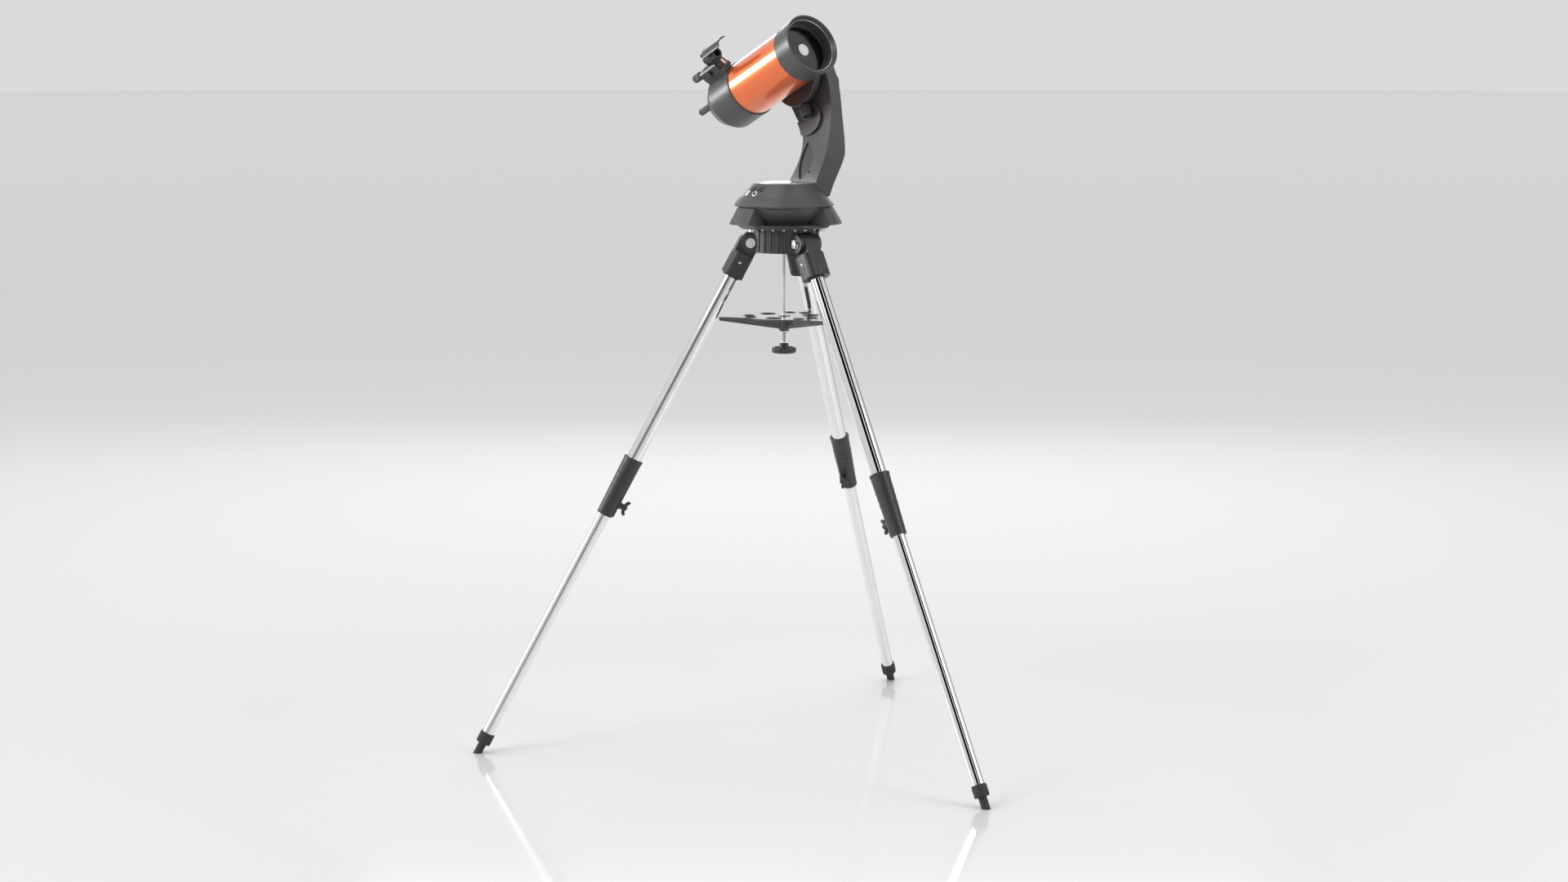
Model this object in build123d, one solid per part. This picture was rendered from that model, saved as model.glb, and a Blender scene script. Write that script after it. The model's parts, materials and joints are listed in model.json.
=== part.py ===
from build123d import *
import os
from math import cos, radians, sin, tan

# Catadioptric telescope on a single-arm go-to mount and a folding steel tripod.
# Millimetres, +Z up. The three feet stand on z = 0, one of them on the -X side.
# The tripod's own upright axis is at AXIS_X, so that the bounding box is centred on the origin.

# Tripod
FOOT_RADIUS = 652.0
AXIS_X = FOOT_RADIUS / 4
LEG_AZIMUTHS = (180, 300, 60)
LEG_TILT = 28.35
PIVOT_RADIUS = 73.5
PIVOT_HEIGHT = (FOOT_RADIUS - PIVOT_RADIUS) / tan(radians(LEG_TILT))
PIVOT_ALONG = (FOOT_RADIUS - PIVOT_RADIUS) / sin(radians(LEG_TILT))
UPPER_TUBE_R = 15.875
LOWER_TUBE_R = 12.7
TUBE_WALL = 1.2
GLIDE_R = UPPER_TUBE_R - TUBE_WALL - 0.06
CLAMP_BOTTOM, CLAMP_TOP = 574.5, 704.5
CLAMP_STEP = CLAMP_BOTTOM + 59.5
KNOB_ALONG = CLAMP_BOTTOM + 29.5
LOWER_TUBE_TOP = 764.0
FOOT_SOCKET = 32.0
BRACKET_BOTTOM = 1140.0
BRACKET_SHOULDER = 1191.0
BRACKET_DEPTH, BRACKET_WIDTH, BRACKET_CORNER = 44.0, 54.0, 13.0
BRACKET_SOCKET_TOP = BRACKET_SHOULDER - 4
CLAMP_KNOB_STEM_R, CLAMP_BOSS_R, CLAMP_BOSS_FACE = 3.0, 7.5, 23.0
FOOT_COLLAR_R, FOOT_TIP_R = 15.5, 8.6
TONGUE_R = 21.0
TONGUE_HALF = 17.0
EAR_HALF = 27.0
PIVOT_BOLT_R = 5.0
BOLT_HEAD_R = 9.2
BOLT_HEAD_LENGTH = 6.0
RUN = 0.05

# Tripod head and brace
HEAD_R = 71.0
HEAD_BOTTOM = 1052.0
HUB_POCKET_R, HUB_POCKET_INNER_R, HUB_WEB = 38.0, 9.0, 14.0
EAR_R = 19.0
SLOT_GAP = 0.4
DISC_R, DISC_BOTTOM, DISC_TOP = 95.0, 1102.0, 1111.0
MOUNT_SCREW_R, MOUNT_SCREW_HEAD_R, MOUNT_SCREW_HEAD = 4.0, 7.0, 6.0
MOUNT_SCREW_REACH = 13.0
ROD_R = 3.0
ROD_BOTTOM = 838.0
ROD_TOP = DISC_BOTTOM - 2
TRAY_TOP = 917.0
TRAY_TIP_R = 137.5
TRAY_NOSE_R = 8.0
TRAY_PLATE_R = 84.0
TRAY_THICKNESS = 3.0
TRAY_HUB_R = 11.0
TRAY_RIB_HALF = 2.0
LARGE_HOLE_R, LARGE_HOLE_PLACE = 16.5, 56.0
SMALL_HOLE_R, SMALL_HOLE_PLACE, SMALL_HOLE_SIDE = 12.0, 72.0, 17.0
SPRING_TOP, SPRING_BOTTOM = 886.0, 860.0
SPRING_R, SPRING_WIRE_R, SPRING_COILS = 6.4, 1.0, 5
BRACE_KNOB_R, BRACE_KNOB_HEIGHT = 25.5, 21.0

# Mount: local frame with +X towards the arm and -Y the way the tube points; the lugs stand in the tripod's frame
ARM_AZIMUTH = 33.14
LUG_AZIMUTHS = (90, 210, 330)
MOUNT_SCREW_PLACE = 83.0
LUG_TIP_R = 121.5
HOUSING_R, HOUSING_FLOOR_R = 96.0, 66.0
HOUSING_TOP = 1146.0
SKIRT_BOTTOM, SKIRT_TOP = 1147.0, 1166.0
SKIRT_R = 104.7
COVER_TOP, COVER_TOP_R, COVER_R = 1195.0, 63.2, 89.2
POST_R = 10.0
WALL = 3.0

# Arm
ARM_INNER, ARM_OUTER = 87.0, 115.0
ARM_SPLIT = 96.0
HEAD_ARM_R = 72.0
ARM_WALL = 3.5
LEAF_LOW, LEAF_HIGH, LEAF_DEPTH = 1200.0, 1277.0, 3.5
LEAF_ROOT, LEAF_TIP, LEAF_REAR, LEAF_FRONT = 2.0, 4.0, 11.5, -25.0

# Optical tube: stations along the axis, measured from the point over the azimuth axis
ALTITUDE = 25.1
AXIS_HEIGHT = 1440.1
PIVOT_STATION = -50.0
TUBE_R = 59.7
FRONT_CELL, RIM = 49.0, 97.8
REAR_CELL, REAR_FACE = -117.0, -212.0
REAR_CELL_R = 61.8
RIM_R = 64.2
APERTURE_R = 56.6
CORRECTOR = 62.0
SEAT = 8.0
EYEPIECE_BORE_R = 15.93
TUBE_SKIN = 1.5
CORRECTOR_R, CORRECTOR_THICKNESS = 58.0, 4.5
RETAINER = CORRECTOR + CORRECTOR_THICKNESS + 2.5
SECONDARY_R, SECONDARY_NECK_R = 12.7, 10.0
BAFFLE_R, BAFFLE_INNER_R = 15.0, 13.5
MIRROR_R, MIRROR_BACK, MIRROR_FACE = 54.0, -180.0, -167.0
FOCUS_X, FOCUS_Y = -36.0, 2.0
FOCUS_R, FOCUS_ROD_R = 7.6, 3.0
FINDER_TURN = 45.0

# Saddle
SADDLE_R = 70.0
SADDLE_INNER, SADDLE_OUTER = 63.0, 80.0
SHAFT_R = 12.0
BAR_OUTER = 73.0
SADDLE_KNOB_X, SADDLE_KNOB_R, SADDLE_SCREW_R = 68.0, 12.5, 4.0
PIVOT_BOSS_R = 28.0

# Drives
AZIMUTH_WHEEL_R = 36.0
AZIMUTH_WHEEL_Z = 1161.0
WHEEL_R = 30.0
WHEEL_MIDDLE = 93.8
WHEEL_HALF = 2.3
WORM_R = 3.0
TOOTH_GAP_R = 0.8
SHAFT_ROD_R = 2.2
MOTOR_R = 7.0
GEARBOX_LENGTH = 16.0
MOTOR_LENGTH = 27.0

# Hand control
HAND_WIDTH, HAND_LENGTH = 60.0, 168.0
HAND_INNER, HAND_OUTER = 103.4, 120.5
HAND_TILT = 6.0
HAND_Y, HAND_Z = -16.0, 1331.0
KEY_PITCH = 15.5
KEY_TRAVEL = 1.0

PIVOT_Y = -PIVOT_STATION * cos(radians(ALTITUDE))
PIVOT_Z = AXIS_HEIGHT + PIVOT_STATION * sin(radians(ALTITUDE))


def rod(radius, low, high, x=0.0, y=0.0):
    """Cylinder along Z between two heights."""
    base = Cylinder(radius, high - low, align=(Align.CENTER, Align.CENTER, Align.MIN))
    return Pos(x, y, low) * base


def tube(outer, inner, low, high):
    """Hollow cylinder along Z."""
    return rod(outer, low, high) - rod(inner, low - 1, high + 1)


def rod_x(radius, low, high, y=0.0, z=0.0):
    """Cylinder along X."""
    return Pos(0, y, z) * (Rot(0, 90, 0) * rod(radius, low, high))


def rod_y(radius, low, high, x=0.0, z=0.0):
    """Cylinder along Y."""
    return Pos(x, 0, z) * (Rot(-90, 0, 0) * rod(radius, low, high))


def block(x0, x1, y0, y1, z0, z1):
    """Box between two corners."""
    middle = Pos((x0 + x1) / 2, (y0 + y1) / 2, (z0 + z1) / 2)
    return middle * Box(x1 - x0, y1 - y0, z1 - z0)


def turned(points):
    """Solid of revolution about Z from a closed outline of (radius, height) points."""
    outline = Plane.XZ * make_face(Polyline(*points, close=True))
    return revolve(outline, Axis.Z)


def prism(face_points, plane, depth):
    """Straight-sided outline pushed along the plane's normal."""
    return extrude(plane * make_face(Polyline(*face_points, close=True)), depth)


def about_axis(azimuth):
    """Place something built about Z on the tripod's upright axis, turned by azimuth."""
    return Pos(AXIS_X, 0, 0) * Rot(0, 0, azimuth)


def leg_frame(azimuth):
    """Frame of a leg: origin at its foot, Z up the leg, X outwards."""
    a, t = radians(azimuth), radians(LEG_TILT)
    foot = (AXIS_X + FOOT_RADIUS * cos(a), FOOT_RADIUS * sin(a), 0)
    outward = (cos(t) * cos(a), cos(t) * sin(a), sin(t))
    up_leg = (-sin(t) * cos(a), -sin(t) * sin(a), cos(t))
    return Plane(origin=foot, x_dir=outward, z_dir=up_leg).location


MOUNT_FRAME = about_axis(ARM_AZIMUTH)
TUBE_AXIS = (0, -cos(radians(ALTITUDE)), sin(radians(ALTITUDE)))
TUBE_FRAME = MOUNT_FRAME * Plane(origin=(0, 0, AXIS_HEIGHT), x_dir=(1, 0, 0), z_dir=TUBE_AXIS).location
HAND_FRAME = MOUNT_FRAME * Pos(0, HAND_Y, HAND_Z) * Rot(-HAND_TILT, 0, 0)


# ---------------------------------------------------------------- tripod head

def tripod_head():
    body = rod(HEAD_R, HEAD_BOTTOM, DISC_BOTTOM)
    body += turned([(0, DISC_BOTTOM), (DISC_R - 3, DISC_BOTTOM), (DISC_R, DISC_BOTTOM + 3),
                    (DISC_R, DISC_TOP - 1), (DISC_R - 1, DISC_TOP), (0, DISC_TOP)])
    body -= tube(HUB_POCKET_R, HUB_POCKET_INNER_R, HEAD_BOTTOM - 1, DISC_BOTTOM - HUB_WEB)
    for azimuth in LEG_AZIMUTHS:
        turn = Rot(0, 0, azimuth)
        ear = rod_y(EAR_R, -EAR_HALF, EAR_HALF, x=PIVOT_RADIUS, z=PIVOT_HEIGHT)
        ear += block(50, PIVOT_RADIUS, -EAR_HALF, EAR_HALF, PIVOT_HEIGHT - EAR_R, PIVOT_HEIGHT + EAR_R)
        slot_half = TONGUE_HALF + SLOT_GAP
        slot = block(51, 100, -slot_half, slot_half, HEAD_BOTTOM - 5, PIVOT_HEIGHT + TONGUE_R + 2)
        bore = rod_y(PIVOT_BOLT_R, -40, 40, x=PIVOT_RADIUS, z=PIVOT_HEIGHT)
        body = body + turn * ear - turn * slot - turn * bore
        for low, high in ((-40, -EAR_HALF), (EAR_HALF, 40)):
            body -= turn * rod_y(BOLT_HEAD_R + 2, low, high, x=PIVOT_RADIUS, z=PIVOT_HEIGHT)
    for azimuth in LUG_AZIMUTHS:
        body -= Rot(0, 0, azimuth) * rod(MOUNT_SCREW_R, DISC_BOTTOM - 1, DISC_TOP + 1, x=MOUNT_SCREW_PLACE)
    body -= rod(ROD_R, HEAD_BOTTOM - 1, ROD_TOP)
    return about_axis(0) * body


def leg_pivot_bolts():
    bolts = []
    for azimuth in LEG_AZIMUTHS:
        bolt = rod_y(PIVOT_BOLT_R, -EAR_HALF, EAR_HALF)
        hexagon = RegularPolygon(BOLT_HEAD_R, 6)
        head = extrude(Plane.XZ.offset(EAR_HALF) * hexagon, BOLT_HEAD_LENGTH)
        nut = extrude(Plane.XZ.offset(-EAR_HALF - BOLT_HEAD_LENGTH) * hexagon, BOLT_HEAD_LENGTH)
        whole = Pos(PIVOT_RADIUS, 0, PIVOT_HEIGHT) * (bolt + head + nut)
        bolts.append(about_axis(azimuth) * whole)
    return Compound(bolts)


def mount_screws():
    screws = []
    for azimuth in LUG_AZIMUTHS:
        screw = rod(MOUNT_SCREW_R, DISC_BOTTOM, DISC_TOP + MOUNT_SCREW_REACH, x=MOUNT_SCREW_PLACE)
        screw += rod(MOUNT_SCREW_HEAD_R, DISC_BOTTOM - MOUNT_SCREW_HEAD, DISC_BOTTOM, x=MOUNT_SCREW_PLACE)
        screws.append(about_axis(azimuth) * screw)
    return Compound(screws)


def center_rod():
    return about_axis(0) * rod(ROD_R, ROD_BOTTOM, ROD_TOP)


# ---------------------------------------------------------------- brace

def tray_arm():
    """Tapered arm of the tray along +X with a rounded nose, which lets the tray turn past a leg."""
    nose = TRAY_TIP_R - TRAY_NOSE_R
    side = (nose + TRAY_NOSE_R * cos(radians(67)), TRAY_NOSE_R * sin(radians(67)))
    left = [(0, 48), (62, 42), side]
    right = [(x, -y) for x, y in left]
    tip = ThreePointArc(right[-1], (TRAY_TIP_R, 0), left[-1])
    outline = make_face([Polyline(*right), tip, Polyline(*left[::-1]), Line(left[0], right[0])])
    return extrude(Plane.XY.offset(TRAY_TOP - TRAY_THICKNESS) * outline, TRAY_THICKNESS)


def brace_tray():
    """Tray with three arms that hold the legs apart; ribs under it run down to its hub."""
    plate = rod(TRAY_PLATE_R, TRAY_TOP - TRAY_THICKNESS, TRAY_TOP)
    hub = rod(TRAY_HUB_R, SPRING_TOP, TRAY_TOP)
    arms = None
    for azimuth in LEG_AZIMUTHS:
        turn = Rot(0, 0, azimuth)
        rib = prism([(8, TRAY_TOP - 2), (8, SPRING_TOP + 4), (22, SPRING_TOP + 6), (TRAY_TIP_R - 1, TRAY_TOP - 8),
                     (TRAY_TIP_R - 1, TRAY_TOP - 2)], Plane.XZ.offset(-TRAY_RIB_HALF), 2 * TRAY_RIB_HALF)
        part = turn * (tray_arm() + rib)
        arms = part if arms is None else arms + part
    body = plate + hub + arms
    for azimuth in LEG_AZIMUTHS:
        body -= Rot(0, 0, azimuth + 60) * rod(LARGE_HOLE_R, TRAY_TOP - 9, TRAY_TOP + 1, x=LARGE_HOLE_PLACE)
        for side in (-SMALL_HOLE_SIDE, SMALL_HOLE_SIDE):
            body -= Rot(0, 0, azimuth) * rod(SMALL_HOLE_R, TRAY_TOP - 9, TRAY_TOP + 1, x=SMALL_HOLE_PLACE, y=side)
    body -= rod(ROD_R + RUN, SPRING_TOP - 1, TRAY_TOP + 1)
    return about_axis(0) * body


def tension_spring():
    end_gap = 0.2
    height = SPRING_TOP - SPRING_BOTTOM - 2 * (SPRING_WIRE_R + end_gap)
    path = Helix(pitch=height / SPRING_COILS, height=height, radius=SPRING_R)
    section = Plane(origin=path @ 0, z_dir=path % 0) * Circle(SPRING_WIRE_R)
    wire = sweep(section, path=path)
    return about_axis(0) * (Pos(0, 0, SPRING_BOTTOM + SPRING_WIRE_R + end_gap) * wire)


def tension_knob():
    top = SPRING_BOTTOM
    low = top - BRACE_KNOB_HEIGHT
    body = turned([(0, top), (8, top), (9.5, top - 3), (9.5, top - 10), (12, top - 12), (BRACE_KNOB_R - 4, top - 12),
                   (BRACE_KNOB_R - 2.5, top - 9), (BRACE_KNOB_R, top - 10), (BRACE_KNOB_R, low + 3),
                   (BRACE_KNOB_R - 3, low), (0, low)])
    body -= rod(ROD_R + RUN, ROD_BOTTOM - 5, top + 1)
    grooves = 12
    for i in range(grooves):
        body -= Rot(0, 0, 360 * i / grooves) * rod(2.2, low - 1, top + 1, x=BRACE_KNOB_R + 1.2)
    return about_axis(0) * body


# ---------------------------------------------------------------- legs

def leg_bracket():
    section = RectangleRounded(BRACKET_DEPTH, BRACKET_WIDTH, BRACKET_CORNER)
    body = extrude(Plane.XY.offset(BRACKET_BOTTOM) * section, BRACKET_SHOULDER - BRACKET_BOTTOM)
    groove_side = BRACKET_WIDTH / 2 + 0.6
    grooves = [(x, y) for x in (-14, 14) for y in (-groove_side, groove_side)]
    for x, y in grooves + [(BRACKET_DEPTH / 2 + 0.6, 0)]:
        body -= rod(1.8, BRACKET_BOTTOM - 1, BRACKET_SHOULDER + 1, x=x, y=y)
    tongue = rod_y(TONGUE_R, -TONGUE_HALF, TONGUE_HALF, z=PIVOT_ALONG)
    tongue += block(-TONGUE_R, TONGUE_R, -TONGUE_HALF, TONGUE_HALF, BRACKET_SHOULDER - 2, PIVOT_ALONG)
    body += tongue
    body -= rod(UPPER_TUBE_R, BRACKET_BOTTOM - 1, BRACKET_SOCKET_TOP)
    return body - rod_y(PIVOT_BOLT_R + RUN, -30, 30, z=PIVOT_ALONG)


def upper_leg_tube():
    return tube(UPPER_TUBE_R, UPPER_TUBE_R - TUBE_WALL, CLAMP_STEP, BRACKET_SOCKET_TOP)


def leg_clamp():
    low, high = CLAMP_BOTTOM, CLAMP_TOP
    body = turned([(0, low), (16.2, low), (17.0, low + 4), (20.2, high - 6), (20.6, high - 3), (19.6, high), (0, high)])
    for y in (-6, 6):
        body += block(-19, -13, y - 1.2, y + 1.2, low + 2, high - 14)
    body += Pos(0, 0, KNOB_ALONG) * (Rot(0, -90, 0) * rod(CLAMP_BOSS_R, 10, CLAMP_BOSS_FACE))
    body -= rod(LOWER_TUBE_R + RUN, low - 1, CLAMP_STEP)
    body -= rod(UPPER_TUBE_R, CLAMP_STEP, high + 1)
    return body - Pos(0, 0, KNOB_ALONG) * (Rot(0, -90, 0) * rod(CLAMP_KNOB_STEM_R + RUN, 0, 30))


def lower_leg_tube():
    body = tube(LOWER_TUBE_R, LOWER_TUBE_R - TUBE_WALL, FOOT_SOCKET, LOWER_TUBE_TOP)
    return body + tube(GLIDE_R, LOWER_TUBE_R - TUBE_WALL, LOWER_TUBE_TOP - 20, LOWER_TUBE_TOP)


def rubber_foot():
    """Tip and collar, before the tip is cut level with the floor."""
    body = rod(FOOT_TIP_R, -8, 26) + rod(FOOT_COLLAR_R, 24, 46)
    return body - rod(LOWER_TUBE_R, FOOT_SOCKET, 50)


def clamp_knob():
    """Wing knob on a screw that presses the lower tube; built along -X at the clamp."""
    screw = rod(CLAMP_KNOB_STEM_R, LOWER_TUBE_R + 0.4, 28)
    hub = rod(6.5, CLAMP_BOSS_FACE + 1, 36)
    wings = block(-16, 16, -2.6, 2.6, 29, 39)
    for side in (-1, 1):
        wings -= prism([(side * 16.5, 28), (side * 16.5, 33), (side * 7, 28)], Plane.XZ.offset(-5), 10)
    body = screw + hub + wings
    return Pos(0, 0, KNOB_ALONG) * (Rot(0, -90, 0) * body)


# ---------------------------------------------------------------- base of the mount

def base_housing():
    """Inverted cone with three flared lugs over the tripod's screws, and the azimuth post."""
    floor = DISC_TOP + 5
    inner = HOUSING_R - 4
    body = turned([(0, DISC_TOP), (HOUSING_FLOOR_R + 4, DISC_TOP), (HOUSING_R, HOUSING_TOP - 3), (HOUSING_R, HOUSING_TOP),
                   (inner, HOUSING_TOP), (HOUSING_FLOOR_R, floor), (0, floor)])
    flare = turned([(60, DISC_TOP), (LUG_TIP_R - 1, DISC_TOP), (LUG_TIP_R, DISC_TOP + 3), (103, HOUSING_TOP - 0.5),
                    (60, HOUSING_TOP - 0.5)])
    hollow = turned([(0, floor), (HOUSING_FLOOR_R, floor), (inner, HOUSING_TOP), (inner, HOUSING_TOP + 1),
                     (0, HOUSING_TOP + 1)])
    half = tan(radians(15))
    for azimuth in LUG_AZIMUTHS:
        wedge = prism([(40, -40 * half - 9), (130, -130 * half), (130, 130 * half), (40, 40 * half + 9)],
                      Plane.XY.offset(DISC_TOP), HOUSING_TOP - DISC_TOP)
        lug = (Rot(0, 0, azimuth) * wedge) & flare
        body += lug - hollow
    for azimuth in LUG_AZIMUTHS:
        screw_hole = rod(MOUNT_SCREW_R, DISC_TOP - 1, DISC_TOP + MOUNT_SCREW_REACH + 1, x=MOUNT_SCREW_PLACE)
        body -= Rot(0, 0, azimuth) * screw_hole
    body += rod(POST_R, floor - 1, SKIRT_TOP + 2)
    return about_axis(0) * body


def azimuth_wheel():
    low, high = AZIMUTH_WHEEL_Z - 4, AZIMUTH_WHEEL_Z + 4
    body = tube(AZIMUTH_WHEEL_R, POST_R, low, high)
    teeth = 60
    for i in range(teeth):
        body -= Rot(0, 0, 360 * i / teeth) * rod(TOOTH_GAP_R, low - 1, high + 1, x=AZIMUTH_WHEEL_R)
    return about_axis(0) * body


def turntable_shell():
    floor = SKIRT_BOTTOM + 3
    body = turned([(POST_R + RUN, SKIRT_BOTTOM), (102, SKIRT_BOTTOM), (SKIRT_R, SKIRT_BOTTOM + 3), (92, SKIRT_TOP),
                   (85.5, SKIRT_TOP), (85.5, SKIRT_TOP - WALL), (88.5, SKIRT_TOP - WALL), (100.5, floor),
                   (POST_R + RUN, floor)])
    return MOUNT_FRAME * body


def cone_plane(azimuth, height):
    """Frame on the cover's cone: Z out of the surface, X level."""
    slope = (COVER_R - COVER_TOP_R - 1.2) / (COVER_TOP - 1 - SKIRT_TOP)
    radius = COVER_R - slope * (height - SKIRT_TOP)
    a = radians(azimuth)
    origin = (radius * cos(a), radius * sin(a), height)
    return Plane(origin=origin, x_dir=(-sin(a), cos(a), 0), z_dir=(cos(a), sin(a), slope)).location


PORT_SIZE = (13, 10)
JACK_R, JACK_DEPTH, JACK_BORE_R = 5.6, 12.0, 2.78
BUTTON_R, BUTTON_GAP = 4.2, 0.1
PORT_PLACES = [cone_plane(azimuth, 1184.5) for azimuth in (170, 188)]
JACK_PLACE = cone_plane(164, 1174.5)
BUTTON_PLACE = cone_plane(182, 1174.5)


def top_cover():
    body = turned([(86, SKIRT_TOP), (COVER_R, SKIRT_TOP), (COVER_TOP_R + 1.2, COVER_TOP - 1), (COVER_TOP_R, COVER_TOP),
                   (0, COVER_TOP), (0, COVER_TOP - WALL), (60.5, COVER_TOP - WALL)])
    for place in PORT_PLACES:
        body -= place * Box(*PORT_SIZE, 30)
    body -= JACK_PLACE * rod(JACK_R, -14, 10)
    body -= BUTTON_PLACE * rod(BUTTON_R + BUTTON_GAP, -14, 10)
    return MOUNT_FRAME * body


def port_covers():
    """Rubber covers pressed into the two cable ports."""
    covers = []
    for place in PORT_PLACES:
        cover = extrude(Plane.XY.offset(-6) * RectangleRounded(*PORT_SIZE, 0.5), 6.8)
        cover += extrude(Plane.XY.offset(-0.2) * Pos(0, -3.2, 0) * RectangleRounded(6, 2, 0.9), 2.4)
        covers.append(MOUNT_FRAME * place * cover)
    return Compound(covers)


def power_jack():
    body = rod(JACK_R, -JACK_DEPTH, 0) + rod(JACK_R + 1, 0, 1.2)
    body -= rod(JACK_BORE_R, 3 - JACK_DEPTH, 5)
    return MOUNT_FRAME * JACK_PLACE * body


def power_button():
    dish = rod(BUTTON_R - 1.4, 1.3, 3)
    return MOUNT_FRAME * BUTTON_PLACE * (rod(BUTTON_R, -5, 1.8) - dish)


def battery_pack():
    return MOUNT_FRAME * fillet(block(-54, -12, -28, 28, 1168.5, 1186).edges().filter_by(Axis.Z), 3)


def gear_motor(shaft):
    """Worm with its middle at the origin, then a bare shaft, a gearbox and a motor, down -Z."""
    unit = rod(WORM_R, -10, 10) + rod(SHAFT_ROD_R, -shaft - 11, -9)
    gearbox_top = -shaft - 10
    unit += rod(MOTOR_R, gearbox_top - GEARBOX_LENGTH, gearbox_top)
    return unit + rod(MOTOR_R - 0.6, gearbox_top - GEARBOX_LENGTH - MOTOR_LENGTH, gearbox_top - 1)


def drive_motors():
    gap = WORM_R + 0.3
    azimuth_drive = Pos(AZIMUTH_WHEEL_R + gap, 0, AZIMUTH_WHEEL_Z) * (Rot(-90, 0, 0) * gear_motor(10))
    altitude_drive = Pos(WHEEL_MIDDLE, PIVOT_Y - WHEEL_R - gap, PIVOT_Z) * gear_motor(58)
    return Compound([MOUNT_FRAME * azimuth_drive, MOUNT_FRAME * altitude_drive])


# ---------------------------------------------------------------- arm

def arm_side(inset):
    """Outline of the arm seen from its side, in local (y, z), shrunk by inset."""
    front = [(-50, 1158), (-54, 1205), (-60.5, 1240), (-60, 1283), (-56.5, 1307), (-50, 1351), (-42, 1395), (-36, 1413)]
    rear = [(96, 1368), (70, 1341), (44, 1315), (26, 1292), (17.5, 1268), (16.5, 1246), (21, 1222), (32, 1197), (50, 1158)]
    front = [(y + inset, z) for y, z in front]
    rear = [(y - inset, z) for y, z in rear]
    radius = HEAD_ARM_R - inset
    start = (PIVOT_Y - radius * cos(radians(12)), PIVOT_Z + radius * sin(radians(12)))
    end = (PIVOT_Y + radius * cos(radians(-40)), PIVOT_Z + radius * sin(radians(-40)))
    crown = ThreePointArc(start, (PIVOT_Y, PIVOT_Z + radius), end)
    lines = [Spline(*front), Line(front[-1], start), crown, Line(end, rear[1]), Spline(*rear[1:]), Line(rear[-1], front[0])]
    return extrude(Plane.YZ.offset(30) * make_face(lines), 100)


def arm_front(inset):
    """Outline of the arm seen from the front, in local (x, z), shrunk by inset."""
    lean = [(42, 1158), (43, 1197), (57, 1243), (71, 1285), (83.5, 1333), (ARM_INNER, 1362)]
    lean = [(x + inset, z) for x, z in lean]
    inner, outer = ARM_INNER + inset, ARM_OUTER - inset
    top = PIVOT_Z + HEAD_ARM_R + 5
    points = [lean[-1], (inner, top), (outer - 12, top), (outer, PIVOT_Z + 40), (outer, 1254)]
    points += [(outer - 4, 1240), (80 - inset, 1158), lean[0]]
    lines = [Spline(*lean)] + [Line(a, b) for a, b in zip(points, points[1:])]
    return extrude(Plane.XZ.offset(-150) * make_face(lines), 300)


def base_top_filled():
    """Everything under the cover's outer surface, which the arm's foot stands on."""
    return turned([(0, 1100), (COVER_R + 30, 1100), (COVER_R + 30, SKIRT_TOP), (COVER_R, SKIRT_TOP),
                   (COVER_TOP_R + 1.2, COVER_TOP - 1), (COVER_TOP_R, COVER_TOP), (0, COVER_TOP)])


def leaf(grow):
    """Leaf-shaped prism through the arm's inner wall, low on the arm."""
    low, high = LEAF_LOW - grow, LEAF_HIGH + grow
    middle = (low + high) / 2
    rear = ThreePointArc((LEAF_ROOT, low), (LEAF_REAR + grow, middle), (LEAF_TIP, high))
    front = ThreePointArc((LEAF_TIP, high), (LEAF_FRONT - grow, middle - 4), (LEAF_ROOT, low))
    return extrude(Plane.YZ.offset(30) * make_face([rear, front]), 50)


def motor_bulge():
    """Rounded swelling under the altitude axis that covers the altitude motor."""
    outline = Plane.YZ.offset(40) * (Pos(17, 1325) * Ellipse(43, 35))
    return extrude(outline, 60)


def arm_solid():
    body = arm_side(0) & arm_front(0)
    body -= leaf(0) - arm_front(LEAF_DEPTH)
    bulge = (motor_bulge() & arm_side(1) & arm_front(-6))
    bulge -= rod_x(102, 40, 81, y=PIVOT_Y, z=PIVOT_Z)
    return body + bulge


def arm_hollow():
    hollow = arm_side(ARM_WALL) & arm_front(ARM_WALL)
    swell = Plane.YZ.offset(40) * (Pos(17, 1325) * Ellipse(43 - ARM_WALL, 35 - ARM_WALL))
    room = extrude(swell, 60) & arm_side(ARM_WALL + 1) & arm_front(-6 + ARM_WALL)
    room -= rod_x(102 + ARM_WALL, 40, 81 + ARM_WALL, y=PIVOT_Y, z=PIVOT_Z)
    leaf_wall = leaf(3) - arm_front(LEAF_DEPTH + ARM_WALL)
    return (hollow + room) - leaf_wall - hand_prism(3, HAND_INNER - 2.4, HAND_OUTER + 10)


def hand_outline(grow, corner=12):
    return RectangleRounded(HAND_WIDTH + 2 * grow, HAND_LENGTH + 2 * grow, corner + grow)


def hand_prism(grow, low, high):
    """Prism of the hand control's outline, in the mount's local frame."""
    frame = Pos(0, HAND_Y, HAND_Z) * Rot(-HAND_TILT, 0, 0)
    return frame * extrude(Plane.YZ.offset(low) * hand_outline(grow), high - low)


def arm_shells():
    whole = arm_solid() - base_top_filled() - hand_prism(0.4, HAND_INNER - 0.2, HAND_OUTER + 10)
    hollow = arm_hollow() - block(0, 140, -100, 100, 1100, 1206)
    whole -= hollow
    whole -= rod_x(SHAFT_R + RUN, 60, 101, y=PIVOT_Y, z=PIVOT_Z)
    outer_half = block(ARM_SPLIT, 160, -200, 200, 1100, 1600)
    return whole - outer_half, whole & outer_half


# ---------------------------------------------------------------- saddle

def bar_outline(grow):
    return [(56, -16 - grow), (62, -17 - grow), (BAR_OUTER + grow, -21.5 - grow), (BAR_OUTER + grow, 21.5 + grow),
            (62, 17 + grow), (56, 16 + grow)]


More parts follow.
